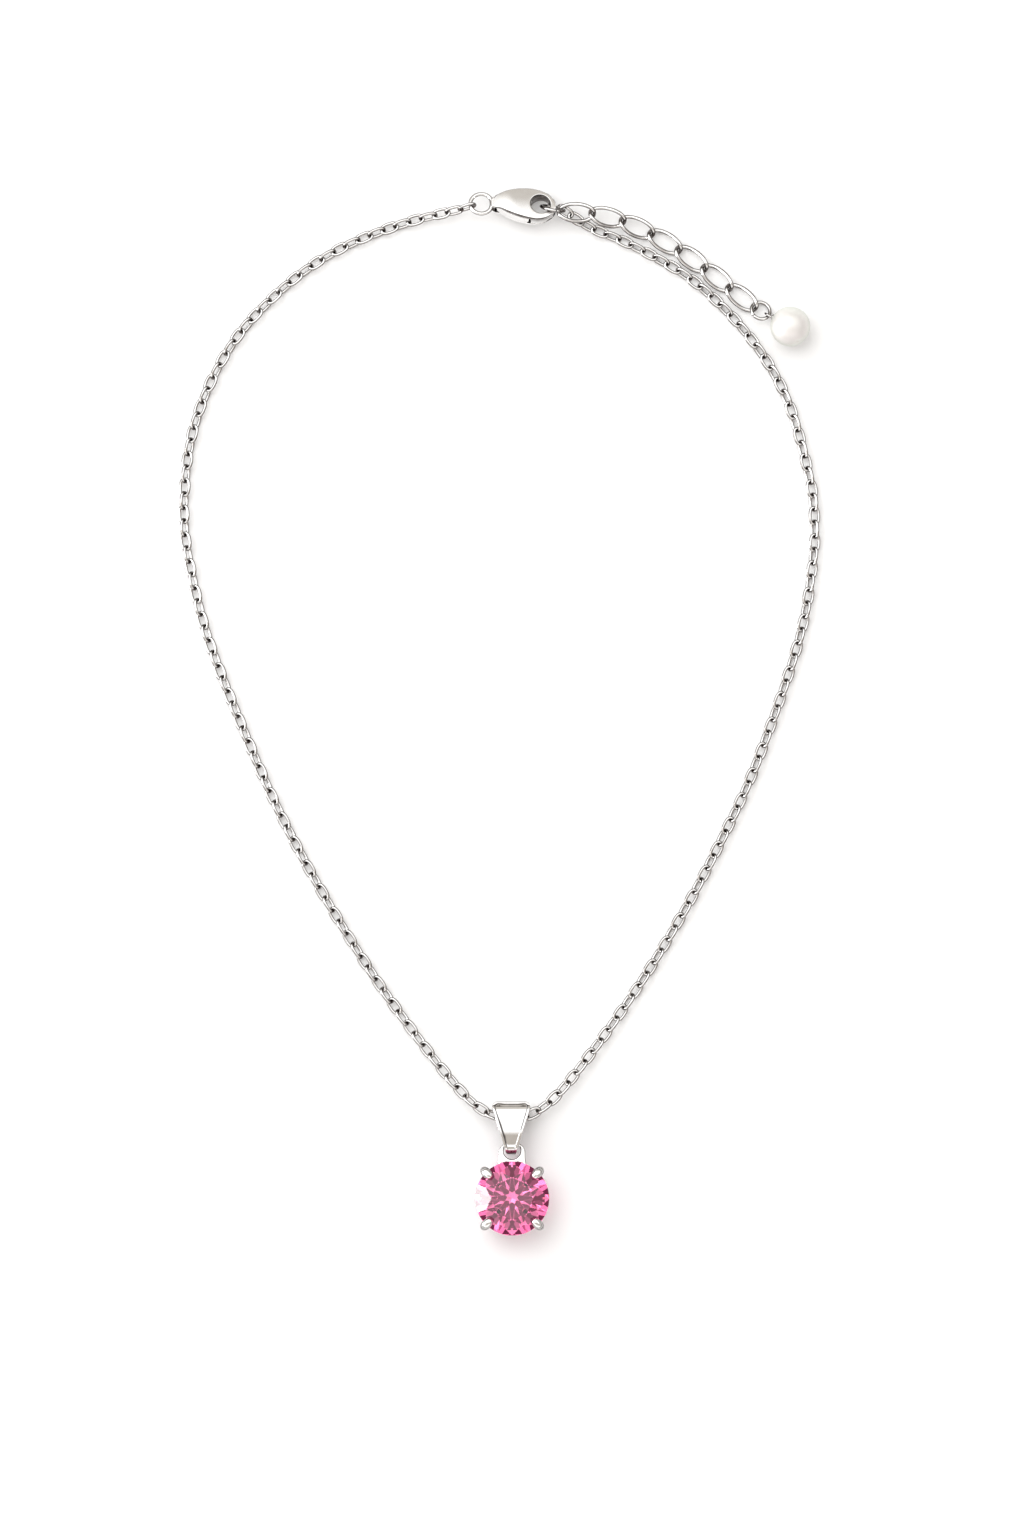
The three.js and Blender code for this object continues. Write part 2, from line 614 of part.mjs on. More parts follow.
addPiece('base_rail', railGeometry(HEAD.baseRail), rhodiumSatin, head);
addPiece('upper_rail', railGeometry(HEAD.upperRail), rhodium, head);
addPiece('pendant_loop', geometryOf(pendantLoop()), rhodium, head);
for (let i = 0; i < 4; i += 1) {
  const prong = addPiece(`prong_${i + 1}`, prongGeometry(), rhodium, head);
  prong.rotation.z = degrees(45 + 90 * i);
}
addPiece('stone', brilliant(), pinkStone, head);
pivots.pendant = new THREE.Vector3(
  HEAD.centre[0], HEAD.loopCentreY + (HEAD.loopOuter + HEAD.loopHole) / 2, HEAD.loopHeight);

necklace.userData.pivots = pivots;

export default necklace;
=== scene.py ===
"""The looks of a fine chain necklace: a stone pendant, a lobster clasp and a pearl-ended extender.

Everything is drawn in millimetres in the frame of the CAD model and turned into metres when its
mesh is made.
"""

import json
import math

import bmesh
import bpy
import numpy as np
from mathutils import Matrix, Vector
from mathutils.geometry import delaunay_2d_cdt


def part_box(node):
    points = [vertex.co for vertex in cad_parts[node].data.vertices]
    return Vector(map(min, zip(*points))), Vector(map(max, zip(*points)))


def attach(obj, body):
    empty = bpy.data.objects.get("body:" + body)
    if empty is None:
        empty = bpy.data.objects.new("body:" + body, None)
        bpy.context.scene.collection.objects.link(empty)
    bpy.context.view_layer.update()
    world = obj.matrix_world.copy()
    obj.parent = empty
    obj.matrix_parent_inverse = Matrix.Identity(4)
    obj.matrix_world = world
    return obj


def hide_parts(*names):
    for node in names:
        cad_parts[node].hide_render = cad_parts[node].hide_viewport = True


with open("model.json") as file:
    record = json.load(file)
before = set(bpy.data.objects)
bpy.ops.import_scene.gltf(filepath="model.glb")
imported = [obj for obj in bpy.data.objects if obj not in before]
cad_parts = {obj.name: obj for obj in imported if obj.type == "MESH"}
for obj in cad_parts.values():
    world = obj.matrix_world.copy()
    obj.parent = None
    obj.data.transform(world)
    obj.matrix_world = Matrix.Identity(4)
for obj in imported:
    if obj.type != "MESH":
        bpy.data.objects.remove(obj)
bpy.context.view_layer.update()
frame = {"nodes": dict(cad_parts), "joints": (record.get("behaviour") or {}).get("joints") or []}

MM = 0.001
JOINTS = {joint["name"]: joint for joint in frame["joints"]}
rng = np.random.default_rng(7)


def node_box(name):
    """Lowest and highest corner of a CAD node, in millimetres."""
    low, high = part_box(name)
    return np.array(low) / MM, np.array(high) / MM


def node_centre(name):
    low, high = node_box(name)
    return (low + high) / 2


def joint_place(name):
    """Where a joint turns, in millimetres."""
    return np.array(JOINTS[name]["pos_m"]) / MM


def unit(vector):
    vector = np.asarray(vector, float)
    return vector / np.linalg.norm(vector)


def rad(degrees):
    return math.radians(degrees)


# ---------------------------------------------------------------- node materials


class Tree:
    """A short way to write a node tree."""

    def __init__(self, tree):
        self.tree = tree

    def add(self, kind, inputs=None, **settings):
        node = self.tree.nodes.new("ShaderNode" + kind)
        for key, value in settings.items():
            setattr(node, key, value)
        for key, value in (inputs or {}).items():
            self.put(node.inputs[key], value)
        return node

    def put(self, socket, value):
        if isinstance(value, bpy.types.NodeSocket):
            self.tree.links.new(value, socket)
        else:
            socket.default_value = value

    def ranged(self, value, from_low, from_high, to_low=0.0, to_high=1.0, **settings):
        inputs = {"Value": value, "From Min": from_low, "From Max": from_high}
        inputs.update({"To Min": to_low, "To Max": to_high})
        return self.add("MapRange", inputs, **settings).outputs["Result"]

    def math(self, operation, first, second):
        return self.add("Math", {0: first, 1: second}, operation=operation).outputs[0]

    def mixed(self, factor, first, second):
        """Two colours mixed; 6 and 7 are the Mix node's colour inputs and 2 is its colour output."""
        return self.add("Mix", {"Factor": factor, 6: first, 7: second}, data_type="RGBA").outputs[2]

    def patches(self, value, low, high, first, second, **settings):
        """One colour where a value is at low, running to another where it is at high."""
        return self.mixed(self.ranged(value, low, high, **settings), first, second)


class Look(Tree):
    """A material: a node tree that ends in a Principled shader."""

    def __init__(self, name):
        self.material = bpy.data.materials.new(name)
        self.material.use_nodes = True
        super().__init__(self.material.node_tree)
        self.shader = self.tree.nodes["Principled BSDF"]
        self.place = self.add("TexCoord").outputs["Object"]

    def set(self, **values):
        """Sets the shader's sockets, named with _ for a space."""
        for key, value in values.items():
            self.put(self.shader.inputs[key.replace("_", " ")], value)

    def noise(self, scale, detail, roughness=0.5, place=None):
        """Noise with this many blobs to the metre."""
        inputs = {"Vector": place or self.place, "Scale": scale, "Detail": detail, "Roughness": roughness}
        return self.add("TexNoise", inputs).outputs["Fac"]

    def stretched(self, factors):
        """The coordinates multiplied axis by axis."""
        return self.add("Mapping", {"Vector": self.place, "Scale": factors}).outputs["Vector"]

    def bump(self, height, strength, distance, normal=None):
        inputs = {"Height": height, "Strength": strength, "Distance": distance}
        if normal:
            inputs["Normal"] = normal
        return self.add("Bump", inputs).outputs["Normal"]


# Dark brown: oxide in crevices, and the colour of the painted shade on the silver.
BROWN_OXIDE_AND_SHADE = (0.035, 0.02, 0.014, 1.0)
CREVICE_REACH = 0.0006  # metres
CREAM_NACRE = (0.84, 0.83, 0.79, 1.0)
ROSY_NACRE = (0.86, 0.82, 0.80, 1.0)
GREEN_SHADED_RIM = (0.60, 0.64, 0.57, 1.0)
LIGHT_PINK = (0.80, 0.17, 0.34, 1.0)
DEEP_PINK = (0.73, 0.13, 0.29, 1.0)


def grey(level, warmth=0.0):
    """A light grey, a little redder than blue where warmth is above nothing."""
    return (level + warmth, level, level - warmth, 1.0)


def polished_silver(name, level=0.93, low=0.03, high=0.1, wear=0.5, crevice_oxide_and_shade_strength=0.85):
    """Plated silver: cloudy wear, fine polishing lines, and a dark brown that is oxide in crevices and
    painted shade.
    """
    look = Look(name)
    clouds = look.noise(900, 4)
    speckle = look.noise(9000, 2)
    lines = look.noise(2600, 2, 0.6, look.stretched((1.0, 7.0, 3.0)))
    # Ambient occlusion darkens crevices: partly oxide, partly painted contact shade where links cross and
    # parts touch.
    crevice = look.add("AmbientOcclusion", {"Distance": CREVICE_REACH}, samples=6).outputs["AO"]
    # The mesh's attribute holds painted shade: dark lines and shaded sides worked out from the geometry.
    painted = look.add("Attribute", attribute_name="seams_and_painted_shade").outputs["Fac"]
    uneven = look.math("MULTIPLY", painted, look.ranged(clouds, 0.3, 0.7, 0.8, 1.0))
    crevice_oxide_and_shade = look.ranged(crevice, 0.25, 0.7, crevice_oxide_and_shade_strength, 0.0)
    dark = look.math("MAXIMUM", uneven, crevice_oxide_and_shade)
    shade = look.patches(clouds, 0.35, 0.65, grey(level, 0.006), grey(level - 0.04, 0.012))
    mottle = look.math("ADD", clouds, speckle)
    look.set(
        Base_Color=look.mixed(dark, shade, BROWN_OXIDE_AND_SHADE),
        Metallic=1.0,
        Roughness=look.ranged(mottle, 0.7, 1.3, low, high),
        Normal=look.bump(lines, 0.05 * wear, 0.00003, look.bump(speckle, 0.04 * wear, 0.00002)),
    )
    return look.material


def nacre():
    """Pearl: a satin skin with faint rosy patches over milky layers, running to a darker green-grey rim
    that is painted shade.
    """
    look = Look("pearl_nacre")
    cloud = look.noise(260, 3)
    grain = look.noise(5200, 3)
    rim = look.add("LayerWeight", {"Blend": 0.4}).outputs["Facing"]
    body = look.patches(cloud, 0.35, 0.65, CREAM_NACRE, ROSY_NACRE)
    look.set(
        # Towards the rim the colour darkens to green-grey: a green overtone with painted shade.
        Base_Color=look.patches(rim, 0.25, 0.95, body, GREEN_SHADED_RIM),
        Metallic=0.4,
        Roughness=look.ranged(grain, 0.3, 0.7, 0.42, 0.5),
        Specular_IOR_Level=0.7,
        Coat_Weight=0.3,
        Coat_Roughness=0.28,
        Normal=look.bump(grain, 0.02, 0.00001),
    )
    return look.material


def pink_gem():
    """A clear pink stone whose colour gathers in soft zones."""
    look = Look("pink_gem")
    zones = look.noise(240, 2)
    veil = look.noise(1400, 4)
    look.set(
        Base_Color=look.patches(zones, 0.3, 0.7, LIGHT_PINK, DEEP_PINK),
        Roughness=look.ranged(veil, 0.4, 0.8, 0.0, 0.02),
        IOR=1.77,
        Transmission_Weight=1.0,
        Specular_IOR_Level=0.5,
    )
    return look.material


def pale_floor():
    """A near-white board with the faintest mottle."""
    look = Look("pale_floor")
    mottle = look.noise(60, 3)
    grain = look.noise(3000, 2)
    look.set(
        Base_Color=look.patches(mottle, 0.3, 0.7, grey(0.9), grey(0.885)),
        Roughness=0.75,
        Specular_IOR_Level=0.2,
        Normal=look.bump(grain, 0.05, 0.00002),
    )
    return look.material


CHAIN_SILVER = polished_silver("chain_silver_look", 0.93, 0.04, 0.12)
WIRE_SILVER = polished_silver("wire_silver_look", 0.94, 0.03, 0.1)
CLASP_SILVER = polished_silver("clasp_silver_look", 0.94, 0.05, 0.13, wear=0.8)
PENDANT_SILVER = polished_silver("pendant_silver_look", 0.95, 0.03, 0.09, crevice_oxide_and_shade_strength=0.35)
RAIL_SILVER = polished_silver("rail_silver_look", 0.95, 0.05, 0.12, crevice_oxide_and_shade_strength=0.0)
STEEL = polished_silver("spring_steel_look", 0.62, 0.2, 0.35, wear=1.5)
NACRE = nacre()
GEM = pink_gem()

# ---------------------------------------------------------------- shapes as corners and faces

LINK_SQUARENESS = 2.6  # 2 is an ellipse


def tangents(points, closed):
    if closed:
        return np.array([unit(v) for v in np.roll(points, -1, 0) - np.roll(points, 1, 0)])
    return np.array([unit(v) for v in np.gradient(points, axis=0)])


def carried_normals(directions, closed):
    """A normal carried along a curve without twisting, with what is left over spread round a ring."""
    start = np.array([0.0, 0.0, 1.0])
    if abs(start @ directions[0]) > 0.9:
        start = np.array([0.0, 1.0, 0.0])
    normals = [unit(start - (start @ directions[0]) * directions[0])]
    for direction in directions[1:]:
        previous = normals[-1]
        normals.append(unit(previous - (previous @ direction) * direction))
    normals = np.array(normals)
    if closed:
        last = unit(normals[-1] - (normals[-1] @ directions[0]) * directions[0])
        side = np.cross(directions[0], normals[0])
        left_over = math.atan2(last @ side, last @ normals[0])
        count = len(normals)
        for i in range(count):
            turn = -left_over * i / count
            across = np.cross(directions[i], normals[i])
            normals[i] = normals[i] * math.cos(turn) + across * math.sin(turn)
    return normals


def wall(low, high, count):
    """Quads between two closed rings of corners, given where each ring starts."""
    steps = [(i, (i + 1) % count) for i in range(count)]
    return [(low + i, low + j, high + j, high + i) for i, j in steps]


def grid_faces(rings, sides, closed):
    """Quads between successive rings of corners."""
    faces = []
    for i in range(rings if closed else rings - 1):
        faces += wall(i * sides, (i + 1) % rings * sides, sides)
    return faces


def sweep(points, section, closed=True, normals=None, scales=None):
    """A section (x along the normal, y across it) carried along a curve."""
    points = np.asarray(points, float)
    directions = tangents(points, closed)
    if normals is None:
        normals = carried_normals(directions, closed)
    elif np.ndim(normals) == 1:
        normals = np.array([unit(np.cross(np.cross(d, normals), d)) for d in directions])
    across = np.cross(directions, normals)
    scales = np.ones(len(points)) if scales is None else np.asarray(scales)
    if scales.ndim == 1:
        scales = np.stack([scales, scales], 1)
    section = np.asarray(section)
    sides = len(section)
    first = section[None, :, 0, None] * normals[:, None, :] * scales[:, None, 0, None]
    second = section[None, :, 1, None] * across[:, None, :] * scales[:, None, 1, None]
    corners = (points[:, None, :] + first + second).reshape(-1, 3)
    faces = grid_faces(len(points), sides, closed)
    if not closed:
        count = len(corners)
        corners = np.vstack([corners, points[:1], points[-1:]])
        for j in range(sides):
            k = (j + 1) % sides
            faces.append((count, j, k)[::-1])
            faces.append((count + 1, count - sides + j, count - sides + k))
    return corners, faces


def whole_turn(count):
    """Angles in equal steps, once round."""
    return 2 * math.pi * np.arange(count) / count


def level_ring(radius, angles, height=0.0):
    """Points on a circle that lies level."""
    return np.stack([radius * np.cos(angles), radius * np.sin(angles), height + 0 * angles], 1)


def circle(radius, sides):
    angles = whole_turn(sides)
    return np.stack([radius * np.cos(angles), radius * np.sin(angles)], 1)


def spread(value, power):
    """A sine or cosine pushed outwards, which squares a circle up as the power rises from 2."""
    return np.sign(value) * np.abs(value) ** (2 / power)


def soft_square(half_x, half_y, sides, power):
    """A closed section between an ellipse and a rectangle."""
    angles = 2 * math.pi * (np.arange(sides) + 0.5) / sides
    return np.stack([half_x * spread(np.cos(angles), power), half_y * spread(np.sin(angles), power)], 1)


def long_oval(angles, half_length, half_width):
    """The middle line of a chain link, with sides straighter than an ellipse's."""
    x = half_length * spread(np.cos(angles), LINK_SQUARENESS)
    y = half_width * spread(np.sin(angles), LINK_SQUARENESS)
    return np.stack([x, y, 0 * x], 1)


def placed(axes, origin):
    """The 4 x 4 matrix of a frame with its axes as columns."""
    matrix = np.eye(4)
    matrix[:3, :3] = axes
    matrix[:3, 3] = origin
    return matrix


def turned(*turns, origin=(0.0, 0.0, 0.0)):
    """The matrix of turns about named axes, the last one made first, and then a move."""
    rotation = Matrix()
    for axis, angle in turns:
        rotation = rotation @ Matrix.Rotation(angle, 4, axis)
    return placed(np.array(rotation)[:3, :3], origin)


def frame_along(origin, direction, roll=0.0):
    """The 4 x 4 matrix of a frame with x along a direction, rolled about it from level."""
    x = unit(direction)
    y = unit(np.cross([0.0, 0.0, 1.0], x))
    z = np.cross(x, y)
    c, s = math.cos(roll), math.sin(roll)
    return placed(np.stack([x, c * y + s * z, c * z - s * y], 1), origin)


def moved(shape, matrix):
    corners, faces = shape
    return corners @ matrix[:3, :3].T + matrix[:3, 3], faces


def joined(shapes):
    """Several shapes as one."""
    corners, faces, start = [], [], 0
    for points, polygons in shapes:
        corners.append(np.asarray(points))
        faces.extend(tuple(start + i for i in face) for face in polygons)
        start += len(points)
    return np.vstack(corners), faces


def lengths_along(line):
    """The length of a line up to each of its points."""
    return np.concatenate([[0], np.cumsum(np.linalg.norm(np.diff(line, axis=0), axis=1))])


def band(value, low, high, soft):
    """1 between low and high, falling to 0 over a soft distance outside them."""
    value = np.asarray(value)
    return np.clip((value - low) / soft + 1, 0, 1) * np.clip((high - value) / soft + 1, 0, 1)


def wire_painted_shade(corners, normals):
    """A dark line of painted reflection along the sides of a wire, where they face the darker surroundings.
    """
    return 0.97 * band(normals[:, 2], 0.02, 0.78, 0.1)


def edge_painted_shade(corners, normals):
    """A fainter line of painted shade low on the sides of the larger castings."""
    return 0.85 * band(normals[:, 2], 0.0, 0.56, 0.14)


def piece(name, shape, material, body, nodes, crease=None, seams_and_painted_shade=None):
    """Makes a mesh object from a shape and gives it its body, CAD nodes and material."""
    corners, faces = shape
    mesh = bpy.data.meshes.new(name)
    mesh.from_pydata((np.asarray(corners) * MM).tolist(), [], faces)
    mesh.validate()
    mesh.update()
    mesh.shade_smooth()
    # The attribute made here holds painted shade: dark lines and shaded sides that the silver darkens to
    # brown.
    if seams_and_painted_shade:
        normals = np.zeros(3 * len(mesh.vertices))
        mesh.vertex_normals.foreach_get("vector", normals)
        paint = mesh.attributes.new("seams_and_painted_shade", "FLOAT", "POINT")
        dark = seams_and_painted_shade(np.asarray(corners), normals.reshape(-1, 3))
        paint.data.foreach_set("value", dark.astype(np.float32))
    if crease is not None:
        mesh.set_sharp_from_angle(angle=rad(crease))
    obj = bpy.data.objects.new(name, mesh)
    bpy.context.scene.collection.objects.link(obj)
    mesh.materials.append(material)
    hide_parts(*nodes)
    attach(obj, body)
    return obj


# ---------------------------------------------------------------- main chain

# The middle line of the chain, from the clasp's eye through the bail to the jump ring.
CHAIN_ROUTE = np.array([
    (-4.2, 82.3, 2.7), (-7.2, 81.4, 2.15), (-12.1, 80.3, 1.3), (-16.9, 78.9, 0.95), (-21.8, 77.1, 0.95),
    (-26.7, 74.8, 0.95), (-31.6, 71.7, 0.95), (-36.4, 67.7, 0.95), (-41.3, 62.6, 0.95), (-45.0, 57.2, 0.95),
    (-48.1, 50.7, 0.95), (-50.1, 44.2, 0.95), (-51.0, 37.7, 0.95), (-51.2, 31.2, 0.95), (-50.4, 24.7, 0.95),
    (-47.2, 11.7, 0.95), (-39.5, -7.8, 0.95), (-33.4, -20.8, 0.95), (-26.1, -33.8, 0.95),
    (-17.7, -46.8, 0.95), (-7.8, -59.8, 1.7), (-2.5, -64.8, 2.3), (1.9, -65.95, 2.35), (6.3, -64.8, 2.3),
    (11.5, -59.8, 1.7), (21.1, -46.8, 0.95), (29.2, -33.8, 0.95), (36.1, -20.8, 0.95), (42.0, -7.8, 0.95),
    (48.7, 11.7, 0.95), (51.0, 24.7, 0.95), (51.2, 31.2, 0.95), (50.5, 37.7, 0.95), (46.8, 50.7, 0.95),
    (40.7, 60.9, 0.95), (31.6, 70.0, 0.95), (21.4, 75.9, 0.9), (14.8, 78.7, 0.9), (9.8, 81.9, 1.55),
])
LEFT_RUNS = 7
LINKS_PER_LEFT_RUN = 12
CENTRE_LINKS = 4
RIGHT_RUNS = 8
LINKS_PER_RIGHT_RUN = 10
LINK_COUNT = 1 + LEFT_RUNS * LINKS_PER_LEFT_RUN + CENTRE_LINKS + RIGHT_RUNS * LINKS_PER_RIGHT_RUN + 1
LINK_WIDTH = 2.0
LINK_WIRE = 0.245  # radius
EVEN_LINK_ROLL = rad(22)
ODD_LINK_ROLL = rad(-50)
FIRST_LINK_ROLL = rad(115)  # across the clasp's eye
LAST_LINK_ROLL = rad(-28)  # across the jump ring


def spline_at(padded, k, w):
    """Points on the uniform spline, a share w past point k + 1 of the padded row."""
    p0, p1, p2, p3 = padded[k], padded[k + 1], padded[k + 2], padded[k + 3]
    v1, v2 = (p2 - p0) / 2, (p3 - p1) / 2
    cubic = (2 * p1 - 2 * p2 + v1 + v2) * w**3
    square = (-3 * p1 + 3 * p2 - 2 * v1 - v2) * w**2
    return cubic + square + v1 * w + p1


def catmull_rom(points, t):
    """Points on the spline through the given points, for t from 0 to 1."""
    padded = np.vstack([2 * points[0] - points[1], points, 2 * points[-1] - points[-2]])
    place = np.asarray(t) * (len(points) - 1)
    k = np.clip(place.astype(int), 0, len(points) - 2)
    return spline_at(padded, k, (place - k)[:, None])


route_steps = np.linspace(0, 1, 4001)
route_points = catmull_rom(CHAIN_ROUTE, route_steps)
route_lengths = lengths_along(route_points)


def route_at(share):
    """Points at shares of the chain's length."""
    t = np.interp(np.asarray(share) * route_lengths[-1], route_lengths, route_steps)
    return catmull_rom(CHAIN_ROUTE, t)


LINK_PITCH = route_lengths[-1] / LINK_COUNT
link_starts = route_at(np.arange(LINK_COUNT + 1) / LINK_COUNT)


def cable_link_shape():
    """One oval cable link: drawn wire, a little thicker at the soldered end."""
    angles = whole_turn(36)
    line = long_oval(angles, LINK_PITCH / 2 + LINK_WIRE, LINK_WIDTH / 2 - LINK_WIRE)
    solder = 1 + 0.1 * np.exp(-((np.angle(np.exp(1j * angles)) / 0.22) ** 2))
    return sweep(line, circle(LINK_WIRE, 12), normals=(0.0, 0.0, 1.0), scales=solder)


CABLE_LINK = cable_link_shape()


def chain_links(first, count):
    """The links from number first on, rolled one way and the other as they hang together."""
    shapes = []
    for i in range(first, first + count):
        start, end = link_starts[i], link_starts[i + 1]
        roll = EVEN_LINK_ROLL if i % 2 == 0 else ODD_LINK_ROLL
        roll += rad(rng.uniform(-4, 4))
        if i == 0:
            roll = FIRST_LINK_ROLL
        if i == LINK_COUNT - 1:
            roll = LAST_LINK_ROLL
        shapes.append(moved(CABLE_LINK, frame_along((start + end) / 2, end - start, roll)))
    return joined(shapes)


def chain_run(side, number, first, count, nodes):
    """One run of the chain as a single piece."""
    name = f"{side}_links_{number}" if number else f"{side}_links"
    body = f"{side}_run_{number}" if number else f"{side}_run"
    shape = chain_links(first, count)
    piece(name, shape, CHAIN_SILVER, body, nodes, None, wire_painted_shade)
    return first + count


def main_chain():
    link = 0
    for i in range(LEFT_RUNS, 0, -1):
        at_end = i == LEFT_RUNS
        nodes = [f"left_chain_run_{i}"] + ["left_end_link"] * at_end
        link = chain_run("left", i, link, LINKS_PER_LEFT_RUN + at_end, nodes)
    link = chain_run("centre", 0, link, CENTRE_LINKS, ["centre_chain_run"])
    for i in range(1, RIGHT_RUNS + 1):
        at_end = i == RIGHT_RUNS
        nodes = [f"right_chain_run_{i}"] + ["right_end_link"] * at_end
        link = chain_run("right", i, link, LINKS_PER_RIGHT_RUN + at_end, nodes)


main_chain()

# ---------------------------------------------------------------- plates with rounded edges


def inside(point, loop):
    """Even-odd test of points against one closed outline."""
    x, y = point[:, 0], point[:, 1]
    result = np.zeros(len(point), bool)
    ends = np.roll(loop, -1, 0)
    for (x1, y1), (x2, y2) in zip(loop, ends):
        crosses = (y1 > y) != (y2 > y)
        with np.errstate(divide="ignore", invalid="ignore"):
            at = (x2 - x1) * (y - y1) / (y2 - y1) + x1
        result ^= crosses & (x < at)
    return result


def loop_distance(point, loop):
    """Distance of points from a closed outline."""
    best = np.full(len(point), np.inf)
    ends = np.roll(loop, -1, 0)
    for a, b in zip(loop, ends):
        side = b - a
        share = np.clip(((point - a) @ side) / max(side @ side, 1e-12), 0, 1)
        best = np.minimum(best, np.linalg.norm(point - a - share[:, None] * side, axis=1))
    return best


def headings(loop):
    """The direction of a closed flat line at each of its points."""
    ahead = np.roll(loop, -1, 0) - np.roll(loop, 1, 0)
    return ahead / np.linalg.norm(ahead, axis=1)[:, None]


def inset(loop, distance):
    """An outline moved to its left: inwards where it runs anticlockwise."""
    tangent = headings(loop)
    return loop + distance * np.stack([-tangent[:, 1], tangent[:, 0]], 1)


def smooth_outline(points, count):
    """A closed smooth outline through a few points."""
    points = np.asarray(points, float)
    wrapped = np.vstack([points[-1], points, points[0], points[1]])
    t = np.linspace(0, 1, 8 * count, endpoint=False)
    k = (t * len(points)).astype(int)
    return evenly(spline_at(wrapped, k, (t * len(points) - k)[:, None]), count)


def evenly(line, count):
    """A closed line cut into equal steps."""
    closed = np.vstack([line, line[:1]])
    length = lengths_along(closed)
    at = np.linspace(0, length[-1], count, endpoint=False)
    return np.stack([np.interp(at, length, closed[:, 0]), np.interp(at, length, closed[:, 1])], 1)


def within(points, rings):
    """Whether points are inside the first outline and outside the others."""
    result = inside(points, rings[0])
    for ring in rings[1:]:
        result &= ~inside(points, ring)
    return result


def fill_points(rings, spacing):
    """Staggered rows of points within the outlines and clear of them."""
    outline = np.vstack(rings)
    lowest, highest = outline.min(0), outline.max(0)
    columns = np.arange(lowest[0], highest[0], spacing)
    rows = np.arange(lowest[1], highest[1], spacing * 0.87)
    gx, gy = np.meshgrid(columns, rows)
    gx[::2] += spacing / 2
    fill = np.stack([gx.ravel(), gy.ravel()], 1)
    keep = within(fill, rings)
    for ring in rings:
        keep &= loop_distance(fill, ring) > 0.45 * spacing
    return fill[keep]


def triangulated(rings, fill):
    """Triangles over the outlines' points and then the fill's, by their numbers in that order."""
    bounds = []
    offset = 0
    for ring in rings:
        bounds += [(offset + i, offset + (i + 1) % len(ring)) for i in range(len(ring))]
        offset += len(ring)
    points = [Vector(point) for point in np.vstack([*rings, fill])]
    made, _, triangles, origin = delaunay_2d_cdt(points, bounds, [], 0, 1e-7)[:4]
    centres = np.array([[sum(made[i][a] for i in t) / 3 for a in (0, 1)] for t in triangles])
    kept = [t for t, good in zip(triangles, within(centres, rings)) if good]
    return [[origin[i][0] for i in t] for t in kept if all(origin[i] for i in t)]


def rounded_plate(loops, low, high, edge, spacing, steps):
    """A plate inside the first outline and outside the others.

    low and high are heights, or functions of x and y. Its upper and lower edges are rounded by edge.
    The first outline runs anticlockwise and the others clockwise.
    """
    edges = edge if isinstance(edge, tuple) else (edge, edge)
    corners, faces = [], []
    starts = {}

    def add(points, level, drop=0.0):
        x, y = points[:, 0], points[:, 1]
        height = level(x, y) if callable(level) else level + 0 * x
        corners.extend(zip(x, y, height - drop))
        return len(corners) - len(points)

    for sign, level, radius in ((-1, low, edges[0]), (1, high, edges[1])):
        rings, numbers = [], []
        for loop in loops:
            previous = None
            for step in range(steps + 1):
                turn = math.pi / 2 * step / steps
                ring = inset(loop, radius * (1 - math.cos(turn)))
                start = add(ring, level, sign * (radius * (1 - math.sin(turn))))
                if previous is None:
                    starts[sign, len(rings)] = start
                else:
                    faces += [quad[::sign] for quad in wall(previous, start, len(loop))]
                previous = start
            rings.append(ring)
            numbers.extend(range(start, start + len(ring)))
        fill = fill_points(rings, spacing)
        start = add(fill, level)
        numbers.extend(range(start, start + len(fill)))
        faces += [tuple(numbers[i] for i in triangle)[::sign] for triangle in triangulated(rings, fill)]
    for number, loop in enumerate(loops):
        faces += wall(starts[-1, number], starts[1, number], len(loop))
    return np.array(corners), faces


def round_loop(x, y, radius, count):
    """A round hole's outline, clockwise."""
    return level_ring(radius, -whole_turn(count))[:, :2] + (x, y)


# ---------------------------------------------------------------- clasp

CLASP_PIVOT = np.array([3.1, -0.35])
CLASP_HOLE = (9.6, 0.0, 1.6)
CLASP_EYE_RADIUS = 1.78
CLASP_EYE_WIRE = 0.33
LEVER_AXIS = unit(JOINTS["clasp_lever_pivot"]["axis"])


def clasp_frame():
    """The clasp's own frame: x from the eye to the hook and z out of its face."""
    x = unit(np.cross(LEVER_AXIS, [0.0, 0.0, 1.0]))
    y = np.cross(LEVER_AXIS, x)
    origin = joint_place("clasp_lever_pivot") - CLASP_PIVOT[0] * x - CLASP_PIVOT[1] * y
    return placed(np.stack([x, y, LEVER_AXIS], 1), origin)


CLASP_FRAME = clasp_frame()

CLASP_OUTLINE = [
    (1.75, 0.75), (3.3, 1.85), (5.2, 2.45), (7.2, 2.7), (9.2, 2.55), (10.8, 1.95), (11.8, 0.95),
    (12.15, -0.3), (11.7, -1.5), (10.6, -2.35), (9.2, -2.75), (7.9, -2.7), (6.2, -2.35), (4.6, -1.8),
    (3.2, -1.15), (1.75, -0.75),
]
HOOK_END = 8  # the number of the outline's point at (11.7, -1.5)
CLASP_SIDE = np.array([
    (0.0, 0.35), (1.2, 0.5), (2.6, 1.05), (4.2, 1.38), (5.8, 1.48), (8.0, 1.38), (10.2, 1.12),
    (12.4, 0.75), (13.0, 0.6),
])
side_curve = catmull_rom(CLASP_SIDE, np.linspace(0, 1, 200))


def clasp_face(x, y):
    """Height of the clasp's smooth upper face."""
    return np.interp(x, side_curve[:, 0], side_curve[:, 1]) - 0.022 * (y + 0.2) ** 2


def clasp_back(x, y):
    return -clasp_face(x, y)


